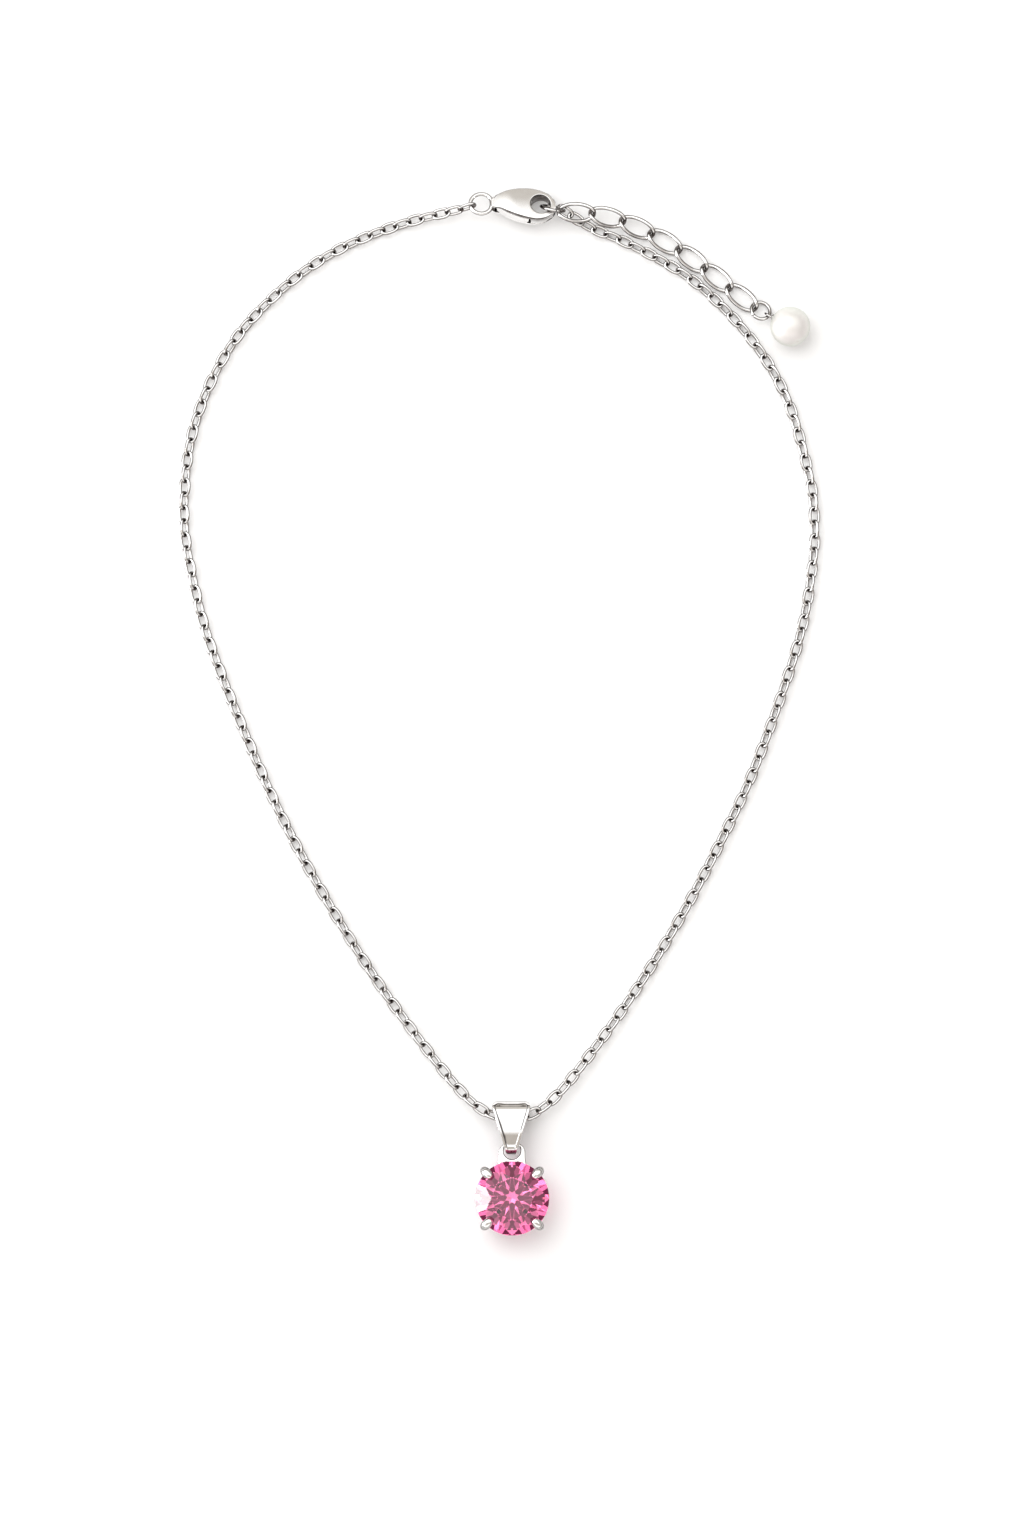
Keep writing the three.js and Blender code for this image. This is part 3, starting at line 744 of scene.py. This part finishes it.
def clasp_body():
    """Two cheeks with the hook's hole, the middle between them, and the eye at the chain's end."""
    outline = smooth_outline(CLASP_OUTLINE, 132)[::-1]
    hole = round_loop(*CLASP_HOLE, 56)
    upper = rounded_plate([outline, hole], 0.8, clasp_face, (0.03, 0.2), 0.3, 5)
    lower = rounded_plate([outline, hole], clasp_back, -0.8, (0.2, 0.03), 0.3, 5)
    # The middle of the body: a spine along the upper side and the hook round the hole.
    turn = np.linspace(rad(152), rad(-137), 48)
    hole_x, hole_y, hole_radius = CLASP_HOLE
    hole_edge = np.stack([hole_x + hole_radius * np.cos(turn), hole_y + hole_radius * np.sin(turn)], 1)
    slot_edge = [(1.75, -0.75), (2.25, -0.7), (2.3, 0.5), (5.5, 1.0)]
    hook_tip = [(8.25, -1.9), (8.1, -2.68), (9.2, -2.74), (10.6, -2.34)]
    outer_edge = hook_tip + CLASP_OUTLINE[HOOK_END::-1]
    middle_line = evenly(np.vstack([slot_edge, hole_edge, outer_edge]), 190)
    middle = rounded_plate([middle_line], -0.84, 0.84, 0.03, 0.35, 2)
    angles = whole_turn(64)
    ring = level_ring(CLASP_EYE_RADIUS, angles)
    flare = 1 + 0.35 * np.exp(-((np.angle(np.exp(1j * angles)) / 0.45) ** 2))
    eye = sweep(ring, circle(CLASP_EYE_WIRE, 18), normals=(0.0, 0.0, 1.0), scales=flare)
    return joined([upper, lower, middle, eye])


LEVER_OUTLINE = [
    (2.35, -0.35), (2.5, 0.1), (3.0, 0.4), (3.6, 0.3), (4.6, -0.1), (6.2, -0.8), (7.5, -1.4), (8.1, -1.7),
    (7.75, -2.68), (6.7, -2.55), (5.4, -2.15), (4.1, -1.65), (3.2, -1.2), (2.6, -0.95),
]


def clasp_lever():
    """The lever: a plate on the pin, with a deep lip along its outer side."""
    outline = smooth_outline(LEVER_OUTLINE, 96)[::-1]
    web = rounded_plate([outline, round_loop(*CLASP_PIVOT, 0.43, 24)], -0.35, 0.74, 0.08, 0.3, 3)
    outer = np.array([
        (2.9, -1.02), (3.6, -1.42), (4.6, -1.88), (5.6, -2.25), (6.6, -2.54), (7.55, -2.7),
        (7.85, -2.3), (7.95, -1.75), (6.6, -1.7), (5.6, -1.55), (4.6, -1.3), (3.6, -0.95), (3.0, -0.8),
    ])
    lip = rounded_plate([evenly(outer, 90)], -0.77, 0.77, 0.07, 0.3, 3)
    return joined([web, lip])


def clasp_painted_shade(corners, normals):
    """Painted shade: a dark line round the face, in the hook's hole, inside the eye, in the slot and near
    the hook's tip.
    """
    local = (corners - CLASP_FRAME[:3, 3]) @ CLASP_FRAME[:3, :3]
    up = normals @ CLASP_FRAME[:3, 2]
    x, y = local[:, 0], local[:, 1]
    line = 0.95 * band(up, -0.1, 0.78, 0.12) * (x > 1.6) * (local[:, 2] > 0.2)
    hole_x, hole_y, hole_radius = CLASP_HOLE
    bore = 0.97 * (np.hypot(x - hole_x, y - hole_y) < hole_radius + 0.09)
    from_eye = np.hypot(x, y)
    eye_side = 0.95 * band(normals[:, 2], 0.0, 0.66, 0.12) * (from_eye < 2.4)
    slot = 0.9 * (np.abs(local[:, 2]) < 0.8) * (x > 2.1) * (y > -1.0) * (y < 0.95)
    wedge = 0.95 * band(x, 6.2, 8.0, 0.5) * (y < -2.2) * band(up, 0.0, 0.8, 0.1) * (local[:, 2] > 0.7)
    return np.maximum.reduce([line, bore, eye_side, slot, wedge])


def lever_seam_and_painted_shade(corners, normals):
    """The lever's joint line is dark; the faces under its lip carry painted shade and the rest a faint even
    darkening.
    """
    local = (corners - CLASP_FRAME[:3, 3]) @ CLASP_FRAME[:3, :3]
    joint_line = 0.9 * (local[:, 0] + 0.5 * (local[:, 1] + 2.0) > 7.78)
    under_lip = 0.6 * band(normals[:, 2], -0.4, -0.05, 0.15)
    return np.maximum(0.12, joint_line + under_lip)


clasp_parts = {
    "clasp_body_look": (clasp_body(), "clasp", "clasp_body", clasp_painted_shade),
    "clasp_lever_look": (clasp_lever(), "lever", "clasp_lever", lever_seam_and_painted_shade),
}
for name, (shape, body, node, seams_and_painted_shade) in clasp_parts.items():
    piece(name, moved(shape, CLASP_FRAME), CLASP_SILVER, body, [node], 40, seams_and_painted_shade)

for name in ("clasp_pivot_pin", "clasp_spring"):
    steel_node = frame["nodes"][name]
    for material_slot in steel_node.material_slots:
        material_slot.material = STEEL

# ---------------------------------------------------------------- jump ring

JUMP_RING_RADIUS = 1.9
JUMP_RING_WIRE = 0.27
JUMP_RING_YAW = rad(-11)
JUMP_RING_LEAN = rad(10)


def wire_piece(name, shape, body, node, crease=None):
    """A ring or link of the thicker wire at the clasp's end."""
    piece(name, shape, WIRE_SILVER, body, [node], crease, wire_painted_shade)


def split_ring(radius, wire, gap, gap_at):
    """A ring in its own x-z plane, bent from wire, with its two ends nearly touching."""
    sides, steps = 16, 64
    span = 2 * math.pi - gap / radius
    angles = gap_at + gap / radius / 2 + np.linspace(0, span, steps)
    points = np.stack([radius * np.cos(angles), 0 * angles, radius * np.sin(angles)], 1)
    ends = np.ones(steps)
    ends[0] = ends[-1] = 0.9
    return sweep(points, circle(wire, sides), closed=False, normals=(0.0, 1.0, 0.0), scales=ends)


jump_ring = split_ring(JUMP_RING_RADIUS, JUMP_RING_WIRE, 0.06, rad(70))
jump_frame = turned(("Z", JUMP_RING_YAW), ("X", JUMP_RING_LEAN), origin=node_centre("jump_ring"))
wire_piece("jump_ring_look", moved(jump_ring, jump_frame), "jump_ring", "jump_ring", 50)

# ---------------------------------------------------------------- extender

CURB_LINKS = 7
CURB_HALF_LENGTH = 2.915
CURB_HALF_WIDTH = 1.4
CURB_WIRE = 0.31
CURB_TWIST = rad(45)


def curb_link_shape():
    """A long oval of round wire, each end twisted about its length."""
    angles = whole_turn(72)
    flat = long_oval(angles, CURB_HALF_LENGTH, CURB_HALF_WIDTH)
    turn = CURB_TWIST * flat[:, 0] / CURB_HALF_LENGTH
    line = np.stack([flat[:, 0], flat[:, 1] * np.cos(turn), flat[:, 1] * np.sin(turn)], 1)
    return sweep(line, circle(CURB_WIRE, 16))


CURB_LINK = curb_link_shape()
joins = [joint_place(f"extender_{i}_swing") for i in range(1, CURB_LINKS + 1)]
joins.append(joint_place("end_ring_swing"))
for i in range(CURB_LINKS):
    start, end = joins[i], joins[i + 1]
    link = moved(CURB_LINK, frame_along((start + end) / 2, end - start))
    number = i + 1
    wire_piece(f"curb_link_{number}", link, f"extender_{number}", f"extender_link_{number}")

END_RING_RADIUS = 1.54
END_RING_WIRE = 0.28
END_RING_HEADING = rad(-27)
END_RING_ROLL = rad(-30)
ring_direction = np.array([math.cos(END_RING_HEADING), math.sin(END_RING_HEADING), 0.0])
ring_centre = node_centre("end_ring")
flat_ring = split_ring(END_RING_RADIUS, END_RING_WIRE, 0.05, rad(115))
lay_down = turned(("X", rad(90)))
end_ring = moved(moved(flat_ring, lay_down), frame_along(ring_centre, ring_direction, END_RING_ROLL))
wire_piece("end_ring_look", end_ring, "end_ring", "end_ring", 50)

# ---------------------------------------------------------------- pearl drop

PEARL_RADIUS = 3.25
PEARL_BORE = 0.34
PEARL_BORE_END = 2.6
PIT_FACING = np.array([0.36, -0.78, 0.5])
PIT_DEPTH = 0.34
PIT_SPREAD = 0.035  # radians
PIN_WIRE = 0.17
PIN_LOOP = 0.75
WRAP_TURNS = 2.5
WRAP_LENGTH = 0.42
WRAP_RADIUS = 0.36
WRAP_WIRE = 0.13
PEARL_AXIS = unit(JOINTS["pearl_spin"]["axis"])
pearl_centre = joint_place("pearl_spin")
pearl_frame = frame_along(pearl_centre, PEARL_AXIS)


def pearl():
    """A pearl, round to a hair, turned in at its drilled end, with one tiny pit in its skin."""
    rings, around = 96, 120
    corners, faces = [], []
    first = math.asin(PEARL_BORE / PEARL_RADIUS)
    latitudes = np.linspace(first, math.pi - 0.01, rings)
    longitudes = whole_turn(around)
    pit = unit(pearl_frame[:3, :3].T @ PIT_FACING)
    for latitude in latitudes:
        out = np.stack([
            np.full(around, -math.cos(latitude)),
            math.sin(latitude) * np.cos(longitudes),
            math.sin(latitude) * np.sin(longitudes),
        ], 1)
        uneven = 0.012 * np.sin(3 * out[:, 1] + 1.0) * np.cos(2 * out[:, 2])
        uneven += 0.008 * np.sin(5 * out[:, 0])
        hollow = PIT_DEPTH * np.exp(-((np.arccos(np.clip(out @ pit, -1, 1)) / PIT_SPREAD) ** 2))
        lip = 0.06 * np.exp(-((latitude - first) / 0.03) ** 2)
        corners.append(out * (PEARL_RADIUS - 0.02 + uneven - hollow - lip)[:, None])
    corners = np.vstack(corners)
    faces = grid_faces(rings, around, False)
    # The bore runs in from the first ring to a blind end, and the far end is whole.
    last = (rings - 1) * around
    faces.append(tuple(last + j for j in range(around)))
    mouth = corners[:around]
    floor_ring = mouth * np.array([0.0, 1.0, 1.0]) + np.array([PEARL_BORE_END, 0.0, 0.0])
    deep = len(corners)
    corners = np.vstack([corners, floor_ring])
    faces += wall(deep, 0, around)
    faces.append(tuple(deep + j for j in reversed(range(around))))
    return corners, faces


def pearl_pin():
    """One wire: an eye on the end ring, two and a half turns of wrap, and a stem into the pearl."""
    past = PEARL_RADIUS + 0.12
    loop_centre = -(past + PIN_LOOP + 0.225)
    shapes = []
    angles = np.linspace(rad(-14), rad(346), 60)
    loop = np.stack([
        loop_centre + PIN_LOOP * np.cos(angles),
        np.linspace(-0.12, 0.06, 60),
        PIN_LOOP * np.sin(angles),
    ], 1)
    shapes.append(sweep(loop, circle(PIN_WIRE, 12), closed=False))
    t = np.linspace(0, 1, 90)
    turn = 2 * math.pi * WRAP_TURNS * t
    wrap_x = -past - 0.28 + WRAP_LENGTH * t
    wrap = np.stack([wrap_x, WRAP_RADIUS * np.cos(turn), WRAP_RADIUS * np.sin(turn)], 1)
    shapes.append(sweep(wrap, circle(WRAP_WIRE, 10), closed=False, normals=(1.0, 0.0, 0.0)))
    stem = np.stack([np.linspace(-past - 0.25, PEARL_BORE_END - 0.1, 8), np.zeros(8), np.zeros(8)], 1)
    shapes.append(sweep(stem, circle(PIN_WIRE, 12), closed=False))
    return joined(shapes)


piece("pearl_look", moved(pearl(), pearl_frame), NACRE, "pearl", ["pearl"], 60)
wire_piece("pearl_pin_look", moved(pearl_pin(), pearl_frame), "pearl_pin", "pearl_pin", 50)

# ---------------------------------------------------------------- bail

BAIL_X = 1.95
BAIL_TOP = -63.2
BAIL_TIP = -71.8
BAIL_TOP_RADIUS = 2.1
BAIL_AXIS_Z = 2.35
BAIL_TIP_RADIUS = 1.45
BAIL_WALL = 0.5
BAIL_ROUNDING = 0.13
RIM_AT_SIDE = 0.42  # width of the rim round the panel
RIM_AT_TOP = 0.46
PANEL_CORNER = 0.5
PANEL_DEPTH = 0.15
LOOP_Z = 3.0


def bail_half_width(y):
    """Half the bail's width at a distance down it: shoulders at the top, then a taper."""
    down = BAIL_TOP - y
    return np.interp(
        down,
        [0.0, 0.03, 0.1, 0.22, 0.4, 0.7, 1.1, 7.0, 7.6, 8.1, 8.4, 8.6],
        [2.3, 2.5, 2.7, 2.87, 3.01, 3.1, 3.07, 1.3, 1.06, 0.95, 0.85, 0.74],
    )


def bail_path():
    """The strip's outer side view, from the middle of its back, up over the top and down to the tip."""
    steps_arc, steps_flat, steps_tip = 36, 46, 24
    top_y = BAIL_TOP - BAIL_TOP_RADIUS
    tip_y = BAIL_TIP + BAIL_TIP_RADIUS
    over = np.linspace(-math.pi / 2, math.pi / 2, steps_arc)
    top = np.array([top_y, BAIL_AXIS_Z]) + BAIL_TOP_RADIUS * np.stack([np.cos(over), np.sin(over)], 1)
    under = np.linspace(math.pi / 2, 3 * math.pi / 2, steps_tip)
    tip = np.array([tip_y, LOOP_Z]) + BAIL_TIP_RADIUS * np.stack([np.cos(under), np.sin(under)], 1)
    front = np.linspace(top[-1], tip[0], steps_flat + 2)[1:-1]
    swell = np.sin(np.linspace(0, math.pi, steps_flat)) * 0.16
    front = front + np.stack([0 * swell, swell], 1)
    back = np.linspace(tip[-1], top[0], steps_flat // 2 + 2)[1:-1]
    return np.vstack([top, front, tip, back])


def bail():
    """A folded strip with a raised, rounded rim round a sunk panel on its front."""
    path = bail_path()
    count = len(path)
    along = headings(path)
    outward = np.stack([along[:, 1], -along[:, 0]], 1)
    middle = path.mean(0)
    if ((path - middle) * outward).sum() < 0:
        outward = -outward
    across = np.concatenate([
        np.linspace(-1, -0.9, 5), np.linspace(-0.87, -0.6, 14), np.linspace(-0.5, 0.5, 17),
        np.linspace(0.6, 0.87, 14), np.linspace(0.9, 1, 5),
    ])
    corners, lines = [], []
    sides = 2 * len(across)
    for i in range(count):
        y, z = path[i]
        half = float(bail_half_width(y))
        x = across * half
        edge = half - np.abs(x)
        front = z > BAIL_AXIS_Z
        rise = np.sqrt(np.maximum(BAIL_ROUNDING**2 - (BAIL_ROUNDING - edge) ** 2, 0))
        fall = np.where(edge < BAIL_ROUNDING, BAIL_ROUNDING - rise, 0)
        # The panel starts a rim's width in from the sides, the top and the tip.
        down = BAIL_TOP - y
        from_side = edge - RIM_AT_SIDE
        from_top = down - RIM_AT_TOP + 0.03 * x**2
        short = [np.maximum(PANEL_CORNER - inward, 0) for inward in (from_side, from_top)]
        corner = PANEL_CORNER - np.hypot(*short)
        panel = np.minimum(np.minimum(from_side, from_top), corner)
        fade = np.clip((8.3 - down) / 1.2, 0, 1)
        sunk = PANEL_DEPTH * fade * np.clip(panel / 0.12, 0, 1) if front else 0 * x
        depth = -fall - sunk
        dy, dz = outward[i]
        outer = np.stack([BAIL_X + x, y + dy * depth, z + dz * depth], 1)
        inner_depth = -BAIL_WALL + fall
        inner = np.stack([BAIL_X + x[::-1], y + dy * inner_depth[::-1], z + dz * inner_depth[::-1]], 1)
        corners.append(np.vstack([outer, inner]))
        # Painted shade: a dark line inside the rim as its shadow, wider down the left side, a dark outline
        # at the edges, and shade under the tip.
        middle_part = np.clip((down - 1.8) / 2.0, 0, 1) * np.clip((7.6 - down) / 1.5, 0, 1)
        reach = 0.14 + 0.18 * (x < 0) * middle_part
        line = np.clip((panel + 0.05) / 0.05, 0, 1) * np.clip((reach - panel) / 0.06, 0, 1) * front
        outline = 0.8 * np.clip((0.05 - edge) / 0.03, 0, 1)
        shade_under_tip = 0.95 * min(max((-dy - 0.5) / 0.15, 0), 1) if y < BAIL_TIP + 1 else 0.0
        dark = np.maximum(np.maximum(line * fade, outline), shade_under_tip)
        lines.append(np.concatenate([dark, outline[::-1]]))
    faces = [face[::-1] for face in grid_faces(count, sides, True)]
    return np.vstack(corners), faces, np.concatenate(lines)


bail_corners, bail_faces, bail_shade_lines = bail()
bail_shape = (bail_corners, bail_faces)


# Painted shade on the bail: the lines above, and its sides darker where they look sideways.
def bail_painted_shade(corners, normals):
    return np.maximum(0.95 * bail_shade_lines, 0.7 * band(normals[:, 2], -0.1, 0.25, 0.1))


piece("bail_look", bail_shape, PENDANT_SILVER, "bail", ["bail"], 45, bail_painted_shade)

# ---------------------------------------------------------------- pendant head

HEAD = np.array([2.1, -78.9, 0.0])
LOOP_Y = 7.6  # from the middle of the head to the middle of its loop
BASE_RAIL = (2.6, 3.5, 0.0, 0.8)  # inner and outer radius, lowest and highest
UPPER_RAIL = (4.55, 5.15, 2.5, 3.4)
PRONG_ANGLES = [rad(45 + 90 * i) for i in range(4)]


def at_head(shape):
    corners, faces = shape
    return corners + HEAD, faces


def rail(inner, outer, low, high):
    """A round rail with softened edges."""
    line = level_ring((inner + outer) / 2, whole_turn(120), (low + high) / 2)
    section = soft_square((high - low) / 2, (outer - inner) / 2, 20, 5.0)
    return sweep(line, section, normals=(0.0, 0.0, 1.0))


def pendant_loop():
    """The loop on the head: a rounded ear with a hole for the bail, widening into the rail."""
    over = np.linspace(0, math.pi, 41)
    top = np.stack([2.15 * np.cos(over), LOOP_Y - 0.2 + 1.75 * np.sin(over)], 1)
    left_foot = [(-2.16, LOOP_Y - 0.9), (-2.22, 5.8), (-2.45, 5.1), (-2.75, 4.55)]
    right_foot = [(-x, y) for x, y in reversed(left_foot)]
    outline = evenly(np.vstack([top, left_foot, (0.0, 4.75), right_foot]), 150)
    round_hole = -whole_turn(56)
    upper = np.sin(round_hole) > 0
    squeeze = np.where(upper, 1.1, 1.3)
    across = np.cos(round_hole)
    squared = np.sign(across) * np.abs(across) ** np.where(upper, 0.5, 1.0)
    hole = np.stack([1.36 * squared, LOOP_Y + squeeze * np.sin(round_hole)], 1)
    ear = rounded_plate([outline, hole], -0.42, 0.42, 0.26, 0.25, 6)
    return moved(ear, turned(origin=(0.0, 0.0, LOOP_Z)))


def ball(half_x, half_y, half_z):
    """A closed rounded lump with three half sizes."""
    rings, around = 20, 32
    heights = np.linspace(-1, 1, rings)
    line = np.stack([half_x * np.sin(heights * math.pi / 2), 0 * heights, 0 * heights], 1)
    width = np.sqrt(np.maximum(1 - (line[:, 0] / half_x) ** 2, 0.0004))
    section = circle(1.0, around) * (half_y, half_z)
    return sweep(line, section, closed=False, normals=(0.0, 1.0, 0.0), scales=width)


def prong(angle):
    """A claw: up outside the rails and bent over the girdle, with a rounded oval tip."""
    side = np.array([
        (4.0, 0.12), (4.15, 0.45), (4.72, 1.5), (5.4, 2.8), (5.98, 4.1), (6.4, 5.0), (6.55, 5.6),
        (6.42, 6.1), (6.05, 6.42), (5.6, 6.56), (5.15, 6.62), (4.75, 6.6),
    ])
    line = catmull_rom(side, np.linspace(0, 1, 60))
    t = np.linspace(0, 1, 60)
    stations = [0, 0.06, 0.3, 0.6, 0.75, 0.86, 0.94, 0.98, 1.0]
    wide = np.interp(t, stations, [0.5, 0.62, 0.62, 0.66, 0.66, 0.6, 0.5, 0.3, 0.1])
    stations = [0, 0.06, 0.5, 0.7, 0.86, 0.94, 0.98, 1.0]
    thick = np.interp(t, stations, [0.3, 0.36, 0.4, 0.44, 0.42, 0.32, 0.2, 0.05])
    points = np.stack([line[:, 0], 0 * t, line[:, 1]], 1)
    sizes = np.stack([wide, thick], 1)
    shape = sweep(points, circle(1.0, 22), closed=False, normals=(0.0, 1.0, 0.0), scales=sizes)
    tip = ball(1.2, 0.8, 0.46)
    claw = joined([shape, moved(tip, turned(("Y", rad(16)), origin=(5.9, 0.0, 6.2)))])
    return moved(claw, turned(("Z", angle)))


def prong_painted_shade(corners, normals):
    """Painted shade: a dark line where the claw's tip turns down, and none on the foot that shows through
    the stone.
    """
    return edge_painted_shade(corners, normals) * np.clip((corners[:, 2] - 4.6) / 0.4, 0, 1)


def brilliant():
    """A round brilliant, made as a cutter does: a disc with one flat facet after another taken off it."""
    radius, girdle, half_girdle = 6.0, 5.45, 0.11
    table, table_up = 3.4, 1.9
    star, waist, depth = 4.62, 1.35, 5.05
    top, low = girdle + half_girdle, girdle - half_girdle
    eighth, sixteenth = math.cos(math.pi / 8), math.cos(math.pi / 16)
    main_slope = table_up / (radius - table)
    star_up = main_slope * (radius - star * eighth)
    star_slope = (table_up - star_up) / (star - table * eighth)
    half_slope = star_up / (sixteenth * (radius - star))
    waist_down = depth * (radius - waist * eighth) / radius
    lower_half_slope = waist_down / (sixteenth * (radius - waist))
    facets = []

    def around(count, phase, r, height, slope, side):
        for i in range(count):
            angle = 2 * math.pi * (i + phase) / count
            out = Vector((math.cos(angle), math.sin(angle), 0.0))
            facets.append((out * r + Vector((0, 0, height)), out * slope + Vector((0, 0, side))))

    around(8, 0.0, radius, top, main_slope, 1)
    around(8, 0.5, star, top + star_up, star_slope, 1)
    around(16, 0.5, radius * sixteenth, top, half_slope, 1)
    around(8, 0.0, radius, low, depth / radius, -1)
    around(16, 0.5, radius * sixteenth, low, lower_half_slope, -1)
    disc = bmesh.new()
    bmesh.ops.create_cone(
        disc, cap_ends=True, segments=128, radius1=radius, radius2=radius, depth=2 * depth + 2
    )
    bmesh.ops.translate(disc, verts=disc.verts, vec=(0, 0, top + table_up - depth - 1))
    for place, facing in facets:
        everything = disc.verts[:] + disc.edges[:] + disc.faces[:]
        cut = bmesh.ops.bisect_plane(
            disc, geom=everything, dist=1e-5, plane_co=place, plane_no=facing.normalized(), clear_outer=True
        )
        rim = [part for part in cut["geom_cut"] if isinstance(part, bmesh.types.BMEdge)]
        if rim:
            bmesh.ops.contextual_create(disc, geom=rim)
    bmesh.ops.remove_doubles(disc, verts=disc.verts, dist=0.003)
    bmesh.ops.recalc_face_normals(disc, faces=disc.faces)
    disc.verts.index_update()
    corners = np.array([corner.co[:] for corner in disc.verts])
    faces = [tuple(corner.index for corner in face.verts) for face in disc.faces]
    disc.free()
    return corners, faces


def head_piece(node, shape, silver, crease=None, seams_and_painted_shade=None):
    """A silver piece of the pendant's head, drawn round the head's own middle."""
    piece(f"{node}_look", at_head(shape), silver, "pendant", [node], crease, seams_and_painted_shade)


head_piece("base_rail", rail(*BASE_RAIL), RAIL_SILVER)
head_piece("upper_rail", rail(*UPPER_RAIL), RAIL_SILVER)
head_piece("pendant_loop", pendant_loop(), PENDANT_SILVER, 50, edge_painted_shade)
for i, angle in enumerate(PRONG_ANGLES):
    head_piece(f"prong_{i + 1}", prong(angle), RAIL_SILVER, 50, prong_painted_shade)
stone = piece("stone_look", at_head(brilliant()), GEM, "pendant", ["stone"])
stone.data.shade_flat()

# ---------------------------------------------------------------- floor, light and camera

VIEW_CENTRE = np.array([2.08, -9.1])
VIEW_HEIGHT = 249.6  # millimetres of floor from the frame's top to its bottom


def floor():
    """A pale board, wide enough for every view."""
    mesh = bpy.data.meshes.new("floor")
    size = 3.0
    corners = [(-size, -size, 0), (size, -size, 0), (size, size, 0), (-size, size, 0)]
    mesh.from_pydata(corners, [], [(0, 1, 2, 3)])
    obj = bpy.data.objects.new("floor", mesh)
    bpy.context.scene.collection.objects.link(obj)
    mesh.materials.append(pale_floor())


def area_light(name, place, size, power, aim=(0.0, 0.0, 0.0)):
    """A white softbox, aimed at a point and out of the camera's sight."""
    data = bpy.data.lights.new(name, "AREA")
    data.shape = "RECTANGLE"
    data.size, data.size_y = size
    data.energy = power
    obj = bpy.data.objects.new(name, data)
    bpy.context.scene.collection.objects.link(obj)
    obj.location = place
    obj.rotation_euler = (Vector(aim) - Vector(place)).to_track_quat("-Z", "Y").to_euler()
    obj.visible_camera = False
    return obj


# The soft key light stands up and to the left. The card is low on the left, where only the stone and
# the silver reflect it.
KEY_PLACE = (-0.33, 0.48, 0.74)
KEY_SIZE = (0.9, 0.9)
KEY_POWER = 4.0
CARD_PLACE = (-0.62, -0.079, 0.165)
CARD_SIZE = (0.36, 0.32)
CARD_POWER = 3.2
SKY_STRENGTH = 1.15


def surroundings():
    """A studio that is white overhead, with warm grey lower on two sides and a dark horizon."""
    world = bpy.data.worlds.new("studio")
    bpy.context.scene.world = world
    world.use_nodes = True
    studio = Tree(world.node_tree)

    def zone(value, start, end, before, after):
        """One colour before the start, running softly to another past the end, which may lie lower."""
        return studio.patches(value, start, end, before, after, interpolation_type="SMOOTHSTEP")

    direction = studio.add("TexCoord").outputs["Generated"]
    x, y, z = studio.add("SeparateXYZ", {0: direction}).outputs
    key_product = studio.add("VectorMath", {0: direction, 1: unit(KEY_PLACE)}, operation="DOT_PRODUCT")
    toward_key = key_product.outputs["Value"]
    tilt = studio.math("DIVIDE", y, studio.math("MAXIMUM", z, 0.05))

    # What the silver, the pearl and the floor see.
    sky = zone(tilt, -0.14, -0.02, (0.46, 0.42, 0.38, 1.0), grey(1.2))
    sky = zone(tilt, 0.7, 1.6, sky, (0.55, 0.52, 0.48, 1.0))
    sky = zone(y, -0.52, -0.62, sky, (1.0, 0.97, 0.95, 1.0))
    sky = zone(x, 0.62, 0.8, sky, (0.5, 0.47, 0.45, 1.0))
    sky = zone(x, -0.25, -0.8, sky, grey(1.15))
    sky = zone(z, 0.3, 0.12, sky, (0.04, 0.027, 0.02, 1.0))
    sky = zone(toward_key, 0.86, 0.985, sky, grey(1.6))

    # What the stone's facets throw back: a dark patch overhead, light round it and dark low down.
    around = zone(z, 0.985, 0.94, (0.22, 0.16, 0.2, 1.0), (1.7, 1.6, 1.75, 1.0))
    around = zone(z, 0.5, 0.35, around, (0.55, 0.4, 0.5, 1.0))
    around = zone(y, 0.45, 0.55, around, (2.0, 1.9, 2.0, 1.0))
    around = zone(x, 0.5, 0.6, around, (1.6, 1.2, 1.1, 1.0))
    through = studio.add("LightPath").outputs["Is Transmission Ray"]
    background = studio.tree.nodes["Background"]
    studio.put(background.inputs["Color"], studio.mixed(through, sky, around))
    studio.put(background.inputs["Strength"], SKY_STRENGTH)


floor()
surroundings()
key = area_light("key_softbox", KEY_PLACE, KEY_SIZE, KEY_POWER)
key.visible_glossy = False
card = area_light("left_card", CARD_PLACE, CARD_SIZE, CARD_POWER, aim=(0.0, CARD_PLACE[1], 0.0))
card.visible_diffuse = False

# The camera looks straight down from high up, so that nothing leans away from the middle.
CAMERA_HEIGHT = 2.6
SENSOR = 36.0
camera_data = bpy.data.cameras.new("camera")
camera = bpy.data.objects.new("camera", camera_data)
bpy.context.scene.collection.objects.link(camera)
camera.location = (VIEW_CENTRE[0] * MM, VIEW_CENTRE[1] * MM, CAMERA_HEIGHT)
camera_data.sensor_width = SENSOR
camera_data.lens = SENSOR * CAMERA_HEIGHT / (VIEW_HEIGHT * MM)
camera_data.clip_start = 0.1
bpy.context.scene.camera = camera
bpy.context.scene.view_settings.view_transform = "Standard"
